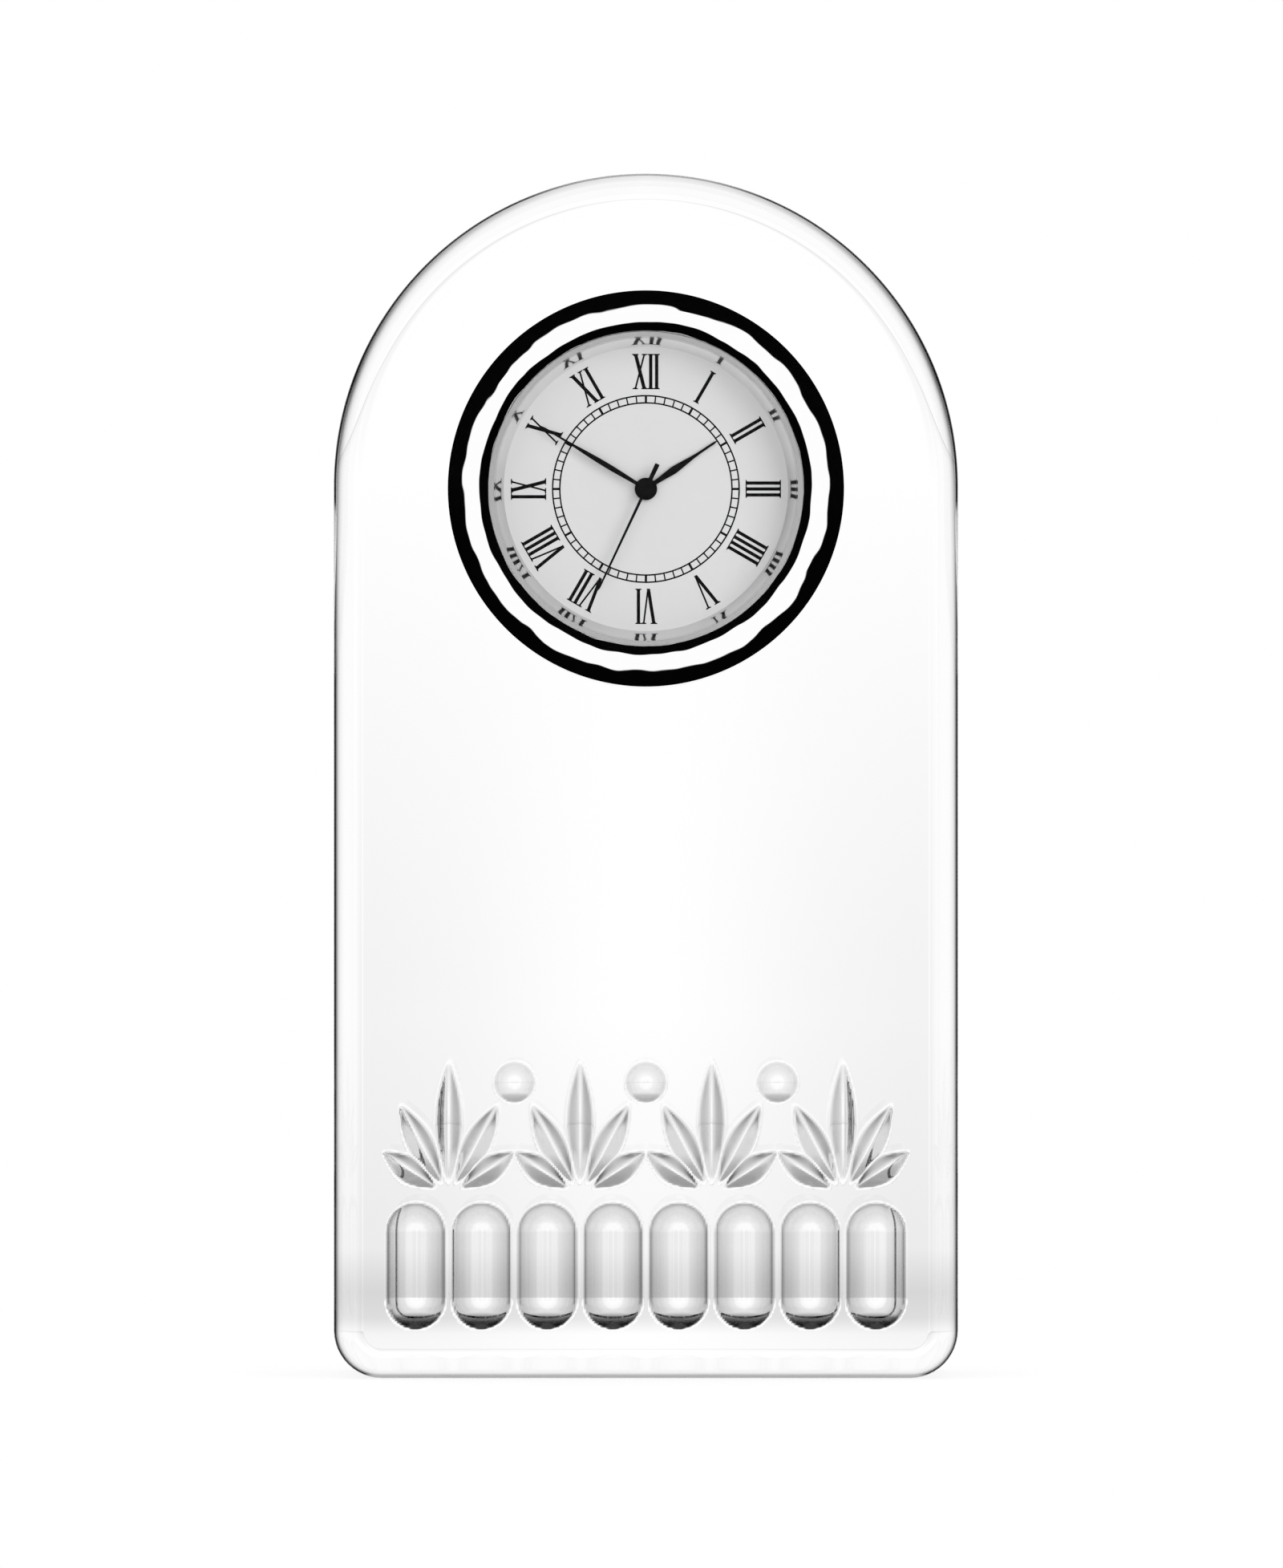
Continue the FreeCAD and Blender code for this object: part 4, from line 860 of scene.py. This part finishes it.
def bar(x0, y0, x1, y1, thick):
    """A stroke from (x0, y0) to (x1, y1) with level ends, thick measured across."""
    half = thick / 2 * math.hypot(x1 - x0, y1 - y0) / abs(y1 - y0)
    return [(x0 - half, y0), (x0 + half, y0), (x1 + half, y1), (x1 - half, y1)]


def serif(x, y, half, up, steps=SERIF_STEPS):
    """A thin foot that narrows to its stroke through steps of (half width, height). Up is 1 on a foot and -1
    on a head."""
    right = [(half, 0.0), (half, SERIF_EDGE), *steps]
    rim = [(x - half, y)]
    rim += [(x + wide, y + high * up) for wide, high in right]
    rim += [(x - wide, y + high * up) for wide, high in right[:0:-1]]
    return rim


def thin_serif(x, y, up):
    """The serif of a thin stroke."""
    return serif(x, y, THIN_SERIF_HALF, up, THIN_SERIF_STEPS)


def glyph(letter, x, height):
    """The strokes of one letter whose middle is at x, upright between 0 and height."""
    if letter == "I":
        return [
            bar(x, 0, x, height, STROKE_THICK),
            serif(x, 0, I_SERIF_HALF, 1),
            serif(x, height, I_SERIF_HALF, -1),
        ]
    if letter == "V":
        return [
            bar(x + V_HEADS[0], height, x + V_POINTS[0], 0, STROKE_THICK),
            bar(x + V_HEADS[1], height, x + V_POINTS[1], 0, STROKE_THIN),
            serif(x + V_HEADS[0], height, V_SERIF_HALF, -1),
            thin_serif(x + V_HEADS[1], height, -1),
        ]
    return [
        bar(x - X_OUT, height, x + X_OUT, 0, STROKE_THICK + X_EXTRA_THICK),
        bar(x + X_OUT, height, x + X_THIN_FOOT, 0, STROKE_THIN),
        serif(x - X_SERIF_OUT, height, X_SERIF_HALF, -1),
        serif(x + X_SERIF_OUT, 0, X_SERIF_HALF, 1),
        thin_serif(x + X_OUT, height, -1),
        thin_serif(x + X_THIN_FOOT, 0, 1),
    ]


def turn_of(shape):
    """Twice the signed area of a closed rim: positive where it runs anticlockwise."""
    x, y = np.array(shape).T
    return float((x * np.roll(y, -1) - np.roll(x, -1) * y).sum())


def merged_sheet(shapes):
    """Triangles over all closed rims together, anticlockwise, with crossing strokes counted once."""
    shapes = [shape if turn_of(shape) > 0 else shape[::-1] for shape in shapes]
    spots = [Vector(p) for shape in shapes for p in shape]
    faces, first = [], 0
    for shape in shapes:
        faces.append(list(range(first, first + len(shape))))
        first += len(shape)
    spots, _, triangles, _, _, owners = delaunay_2d_cdt(spots, [], faces, 0, INK_LIMIT)
    flat = np.array([tuple(p) for p in spots]) * MM
    triangles = np.array(triangles)[[len(o) > 0 for o in owners]]
    a, b, c = flat[triangles[:, 0]], flat[triangles[:, 1]], flat[triangles[:, 2]]
    area = (b[:, 0] - a[:, 0]) * (c[:, 1] - a[:, 1]) - (b[:, 1] - a[:, 1]) * (c[:, 0] - a[:, 0])
    triangles[area < 0] = triangles[area < 0][:, ::-1]
    return flat, triangles


def inked(shapes):
    """A sheet of ink on the dial over the shapes, with a back, and a wall along each edge that belongs to
    one triangle alone."""
    flat, triangles = merged_sheet(shapes)
    edges = np.concatenate([triangles[:, [0, 1]], triangles[:, [1, 2]], triangles[:, [2, 0]]])
    code = edges[:, 0] * len(flat) + edges[:, 1]
    back = edges[:, 1] * len(flat) + edges[:, 0]
    rim = edges[~np.isin(code, back)]
    _, dial_y = at(0, DIAL_DEPTH)
    ink = INK_THICKNESS * MM
    front = np.stack([flat[:, 0], np.full(len(flat), dial_y - ink), flat[:, 1] + DIAL_Z], 1)
    rear = front + [0, ink, 0]
    run = flat[rim[:, 1]] - flat[rim[:, 0]]
    out = np.stack([run[:, 1], 0 * run[:, 0], -run[:, 0]], 1)
    out /= np.maximum(np.linalg.norm(out, axis=1, keepdims=True), LEAST_LENGTH)
    wall = np.stack([front[rim[:, 0]], front[rim[:, 1]], rear[rim[:, 1]], rear[rim[:, 0]]], 1)
    first = np.arange(len(rim))[:, None] * 4
    wall_triangles = np.concatenate([first + [0, 1, 2], first + [0, 2, 3]])
    return [
        (front, triangles, np.tile([0.0, -1.0, 0.0], (len(front), 1))),
        (rear, triangles, np.tile([0.0, 1.0, 0.0], (len(front), 1))),
        (wall.reshape(-1, 3), wall_triangles, np.repeat(out, 4, axis=0)),
    ]


def around_dial(points, degrees, foot):
    """Places upright points (across, up) at an hour's direction, clockwise from the top, with their feet at
    radius foot."""
    turn = math.radians(degrees)
    return [
        (x * math.cos(turn) + (y + foot) * math.sin(turn), (y + foot) * math.cos(turn) - x * math.sin(turn))
        for x, y in points
    ]


def numerals():
    """The strokes of the twelve hours, each centred on its direction."""
    shapes = []
    for hour, letters in enumerate(HOURS, start=1):
        x = -sum(LETTER_WIDTHS[letter] for letter in letters) / 2
        for letter in letters:
            x += LETTER_WIDTHS[letter] / 2
            for stroke in glyph(letter, x, NUMERAL_TOP - NUMERAL_FOOT):
                shapes.append(around_dial(stroke, HOUR_DEGREES * hour, NUMERAL_FOOT))
            x += LETTER_WIDTHS[letter] / 2
    return shapes


def track_patches():
    """The two thin rings of the railway track."""
    patches = []
    for middle in (TRACK_INNER, TRACK_OUTER):
        inner, outer = middle - TRACK_HALF, middle + TRACK_HALF
        top = DIAL_DEPTH - INK_THICKNESS
        corners = [(inner, DIAL_DEPTH), (outer, DIAL_DEPTH), (outer, top), (inner, top)]
        patches += lathe_patches(closed_profile(corners))
    return patches


def tick_shapes():
    """Sixty ticks between the rings of the track, heavier at each fifth."""
    low, high = TRACK_INNER + TICK_INSET, TRACK_OUTER - TICK_INSET
    shapes = []
    for minute in range(60):
        half = FIFTH_TICK_HALF if minute % 5 == 0 else TICK_HALF
        tick = [(-half, 0), (half, 0), (half, high - low), (-half, high - low)]
        shapes.append(around_dial(tick, MINUTE_DEGREES * minute, low))
    return shapes


piece("numerals", inked(numerals()), dial_ink, "insert")
piece("minute_track", track_patches() + inked(tick_shapes()), dial_ink, "insert")
cap_patches = lathe_patches(open_profile(CAP_PROFILE), CAP_POINTS)
piece("hand_cap", cap_patches, hand_black, "seconds")


# Floor, light and camera, in metres

# Ramps by the parts of a world direction, as (from, to, stops of (value, grey))
MIRRORED_BY_Y = (-1.0, 1.0, ((-0.81, 1.0), (-0.78, 0.001), (0.88, 0.001), (0.95, 1.0)))
BELT_BY_Y = (0.0, 1.0, (
    (0.07, 0.95), (0.15, 0.4), (0.21, 0.03), (0.58, 0.03), (0.61, 0.05), (0.655, 0.18), (0.695, 0.34),
    (0.741, 0.55), (0.785, 0.78), (0.825, 0.91), (0.87, 0.98), (0.91, 1.03), (0.985, 1.03), (0.995, 1.0),
))
UPWARD_BY_ROLL = (-1.0, 1.0, ((0.93, 0.0), (0.985, 0.55)))
FLOOR_BY_Z = (-0.3, 0.1, ((-0.21, 0.95), (-0.17, 0.84), (-0.11, 0.33), (-0.06, 0.0)))
HORIZON_BY_Z = (-0.05, 0.0, (
    (-0.0355, 1.0), (-0.0345, 0.80), (-0.0328, 0.74), (-0.0318, 0.80), (-0.0300, 0.93), (-0.0150, 1.0),
))
SIDES_BY_X = (0.0, 0.4, (
    (0.002, 0.0), (0.006, 0.25), (0.012, 0.75), (0.017, 1.0), (0.03, 1.0), (0.10, 0.5), (0.20, 0.1),
    (0.30, 0.0),
))
LOWER_BY_Z = (-0.1, 0.1, ((-0.0385, 0.1), (-0.0350, 1.0), (-0.012, 1.0), (0.005, 0.5), (0.02, 0.0)))
BELT_LEAN = -0.02
SIDES_FALL = -0.11
LEAST_SIDEWAYS = 0.01
PLAIN_LIGHT = (0.85, 0.85, 0.85, 1)
WHITE = (1, 1, 1, 1)

FLOOR_HALF = 4
FLOOR_GREY = (0.8, 0.8, 0.8, 1)
FADE_START = 0.05
FADE_END = 0.30
FADE_LEAST = 0.75

# Lamps as name, place, aim, size and watts
LAMPS = (
    ("left_front", (-0.7, -0.9, 0.6), (0, 0, 0.1), (0.7, 0.9), 4.0),
    ("right_front", (0.8, -0.8, 0.5), (0, 0, 0.1), (0.6, 0.9), 9.0),
    ("overhead", (0.0, -0.1, 1.1), (0, 0, 0.08), (1.0, 0.8), 4.0),
)

FRAME_HEIGHT = 0.23185
FRAME_PLANE = 0.013
EYE_DISTANCE = 2.3
EYE_HEIGHT = 0.0878
EYE_SIDE = -0.00065
SENSOR_MM = 36.0
NEAR_CLIP = 0.01


def passed_light(tree, x, y, z):
    """What glass shows of the world: white ahead and behind, and a dark belt around the sides that is
    lighter overhead and towards the floor. The horizon is a grey line, and low down the white falls off a
    little to both sides of the middle."""
    along = figure(tree, "ABSOLUTE", y)
    sideways = figure(tree, "SQRT", figure(tree, "SUBTRACT", 1.0, figure(tree, "MULTIPLY", along, along)))
    roll = figure(tree, "DIVIDE", z, figure(tree, "MAXIMUM", sideways, LEAST_SIDEWAYS))
    belt = grey_ramp(tree, figure(tree, "MULTIPLY_ADD", x, BELT_LEAN, along), *BELT_BY_Y)
    upward = grey_ramp(tree, roll, *UPWARD_BY_ROLL)
    floorward = grey_ramp(tree, z, *FLOOR_BY_Z)
    horizon = grey_ramp(tree, z, *HORIZON_BY_Z)
    sides = grey_ramp(tree, figure(tree, "ABSOLUTE", x), *SIDES_BY_X)
    lower = grey_ramp(tree, z, *LOWER_BY_Z)
    falloff = figure(tree, "MULTIPLY_ADD", figure(tree, "MULTIPLY", sides, lower), SIDES_FALL, 1.0)
    open_sky = figure(tree, "MAXIMUM", belt, figure(tree, "MAXIMUM", upward, floorward))
    return figure(tree, "MULTIPLY", open_sky, figure(tree, "MULTIPLY", horizon, falloff))


def choose(tree, flag, first, second):
    """The second colour where flag is one, and the first elsewhere. A colour is a socket or plain."""
    mix = put(tree, "ShaderNodeMix", data_type="RGBA")
    tree.links.new(flag, mix.inputs["Factor"])
    for socket, value in ((mix.inputs[6], first), (mix.inputs[7], second)):
        if isinstance(value, tuple):
            socket.default_value = value
        else:
            tree.links.new(value, socket)
    return mix.outputs[2]


def world_light():
    """A plain studio: even light on the object, a white background, and surroundings of their own for mirrors
    and for glass. A mirror sees white ahead and behind, and black around the sides."""
    world = bpy.data.worlds.new("studio")
    bpy.context.scene.world = world
    world.use_nodes = True
    tree = world.node_tree
    background = tree.nodes["Background"]
    x, y, z = axes(tree, spot(tree, "Generated"))
    mirrored = grey_ramp(tree, y, *MIRRORED_BY_Y)
    rays = put(tree, "ShaderNodeLightPath").outputs
    colour = choose(tree, rays["Is Glossy Ray"], PLAIN_LIGHT, mirrored)
    colour = choose(tree, rays["Is Transmission Ray"], colour, passed_light(tree, x, y, z))
    colour = choose(tree, rays["Is Camera Ray"], colour, WHITE)
    tree.links.new(colour, background.inputs["Color"])
    background.inputs["Strength"].default_value = 1.0


def soft_lamp(name, place, aim, size, watts):
    """A rectangular lamp that no mirror or glass shows."""
    data = bpy.data.lights.new(name, "AREA")
    data.shape = "RECTANGLE"
    data.size, data.size_y = size
    data.energy = watts
    lamp = bpy.data.objects.new(name, data)
    lamp.location = place
    lamp.rotation_euler = (Vector(aim) - Vector(place)).to_track_quat("-Z", "Y").to_euler()
    lamp.visible_glossy = False
    lamp.visible_transmission = False
    bpy.context.scene.collection.objects.link(lamp)


def pale_floor():
    """A pale floor that keeps the object's shadow, and fades to the white background away from it."""
    mesh = bpy.data.meshes.new("floor")
    half = FLOOR_HALF
    corners = [(-half, -half, 0), (half, -half, 0), (half, half, 0), (-half, half, 0)]
    mesh.from_pydata(corners, [], [(0, 1, 2, 3)])
    material, tree, shader = base_material("floor_paper", specular=0.0)
    shader.inputs["Base Color"].default_value = FLOOR_GREY
    shader.inputs["Roughness"].default_value = 1.0
    glow = put(tree, "ShaderNodeEmission", Color=WHITE, Strength=1.0)
    rays = put(tree, "ShaderNodeLightPath").outputs
    through = figure(tree, "MAXIMUM", rays["Is Glossy Ray"], rays["Is Transmission Ray"])
    seen = figure(tree, "MAXIMUM", rays["Is Camera Ray"], through)
    away = put(tree, "ShaderNodeVectorMath", operation="LENGTH")
    tree.links.new(spot(tree), away.inputs[0])
    fade = put(
        tree, "ShaderNodeMapRange", interpolation_type="SMOOTHSTEP",
        From_Min=FADE_START, From_Max=FADE_END, To_Min=FADE_LEAST, To_Max=1.0,
    )
    tree.links.new(away.outputs["Value"], fade.inputs["Value"])
    mix = put(tree, "ShaderNodeMixShader")
    tree.links.new(figure(tree, "MULTIPLY", seen, fade.outputs["Result"]), mix.inputs[0])
    tree.links.new(shader.outputs[0], mix.inputs[1])
    tree.links.new(glow.outputs[0], mix.inputs[2])
    tree.links.new(mix.outputs[0], tree.nodes["Material Output"].inputs["Surface"])
    mesh.materials.append(material)
    floor = bpy.data.objects.new("floor", mesh)
    bpy.context.scene.collection.objects.link(floor)
    floor.visible_glossy = False
    floor.visible_transmission = False


def camera():
    """A long lens, level with the middle of the block. FRAME_HEIGHT is what the photograph's frame holds at
    FRAME_PLANE before the block's middle."""
    data = bpy.data.cameras.new("camera")
    data.sensor_fit = "VERTICAL"
    data.sensor_height = SENSOR_MM
    data.lens = SENSOR_MM * (EYE_DISTANCE - FRAME_PLANE) / FRAME_HEIGHT
    data.clip_start = NEAR_CLIP
    eye = bpy.data.objects.new("camera", data)
    eye.location = (EYE_SIDE, -EYE_DISTANCE, EYE_HEIGHT)
    eye.rotation_euler = (math.pi / 2, 0, 0)
    bpy.context.scene.collection.objects.link(eye)
    bpy.context.scene.camera = eye


world_light()
pale_floor()
for lamp_values in LAMPS:
    soft_lamp(*lamp_values)
camera()
scene = bpy.context.scene
scene.view_settings.view_transform = "Standard"
scene.cycles.max_bounces = 16
scene.cycles.transmission_bounces = 16
scene.cycles.glossy_bounces = 6
scene.cycles.transparent_max_bounces = 12

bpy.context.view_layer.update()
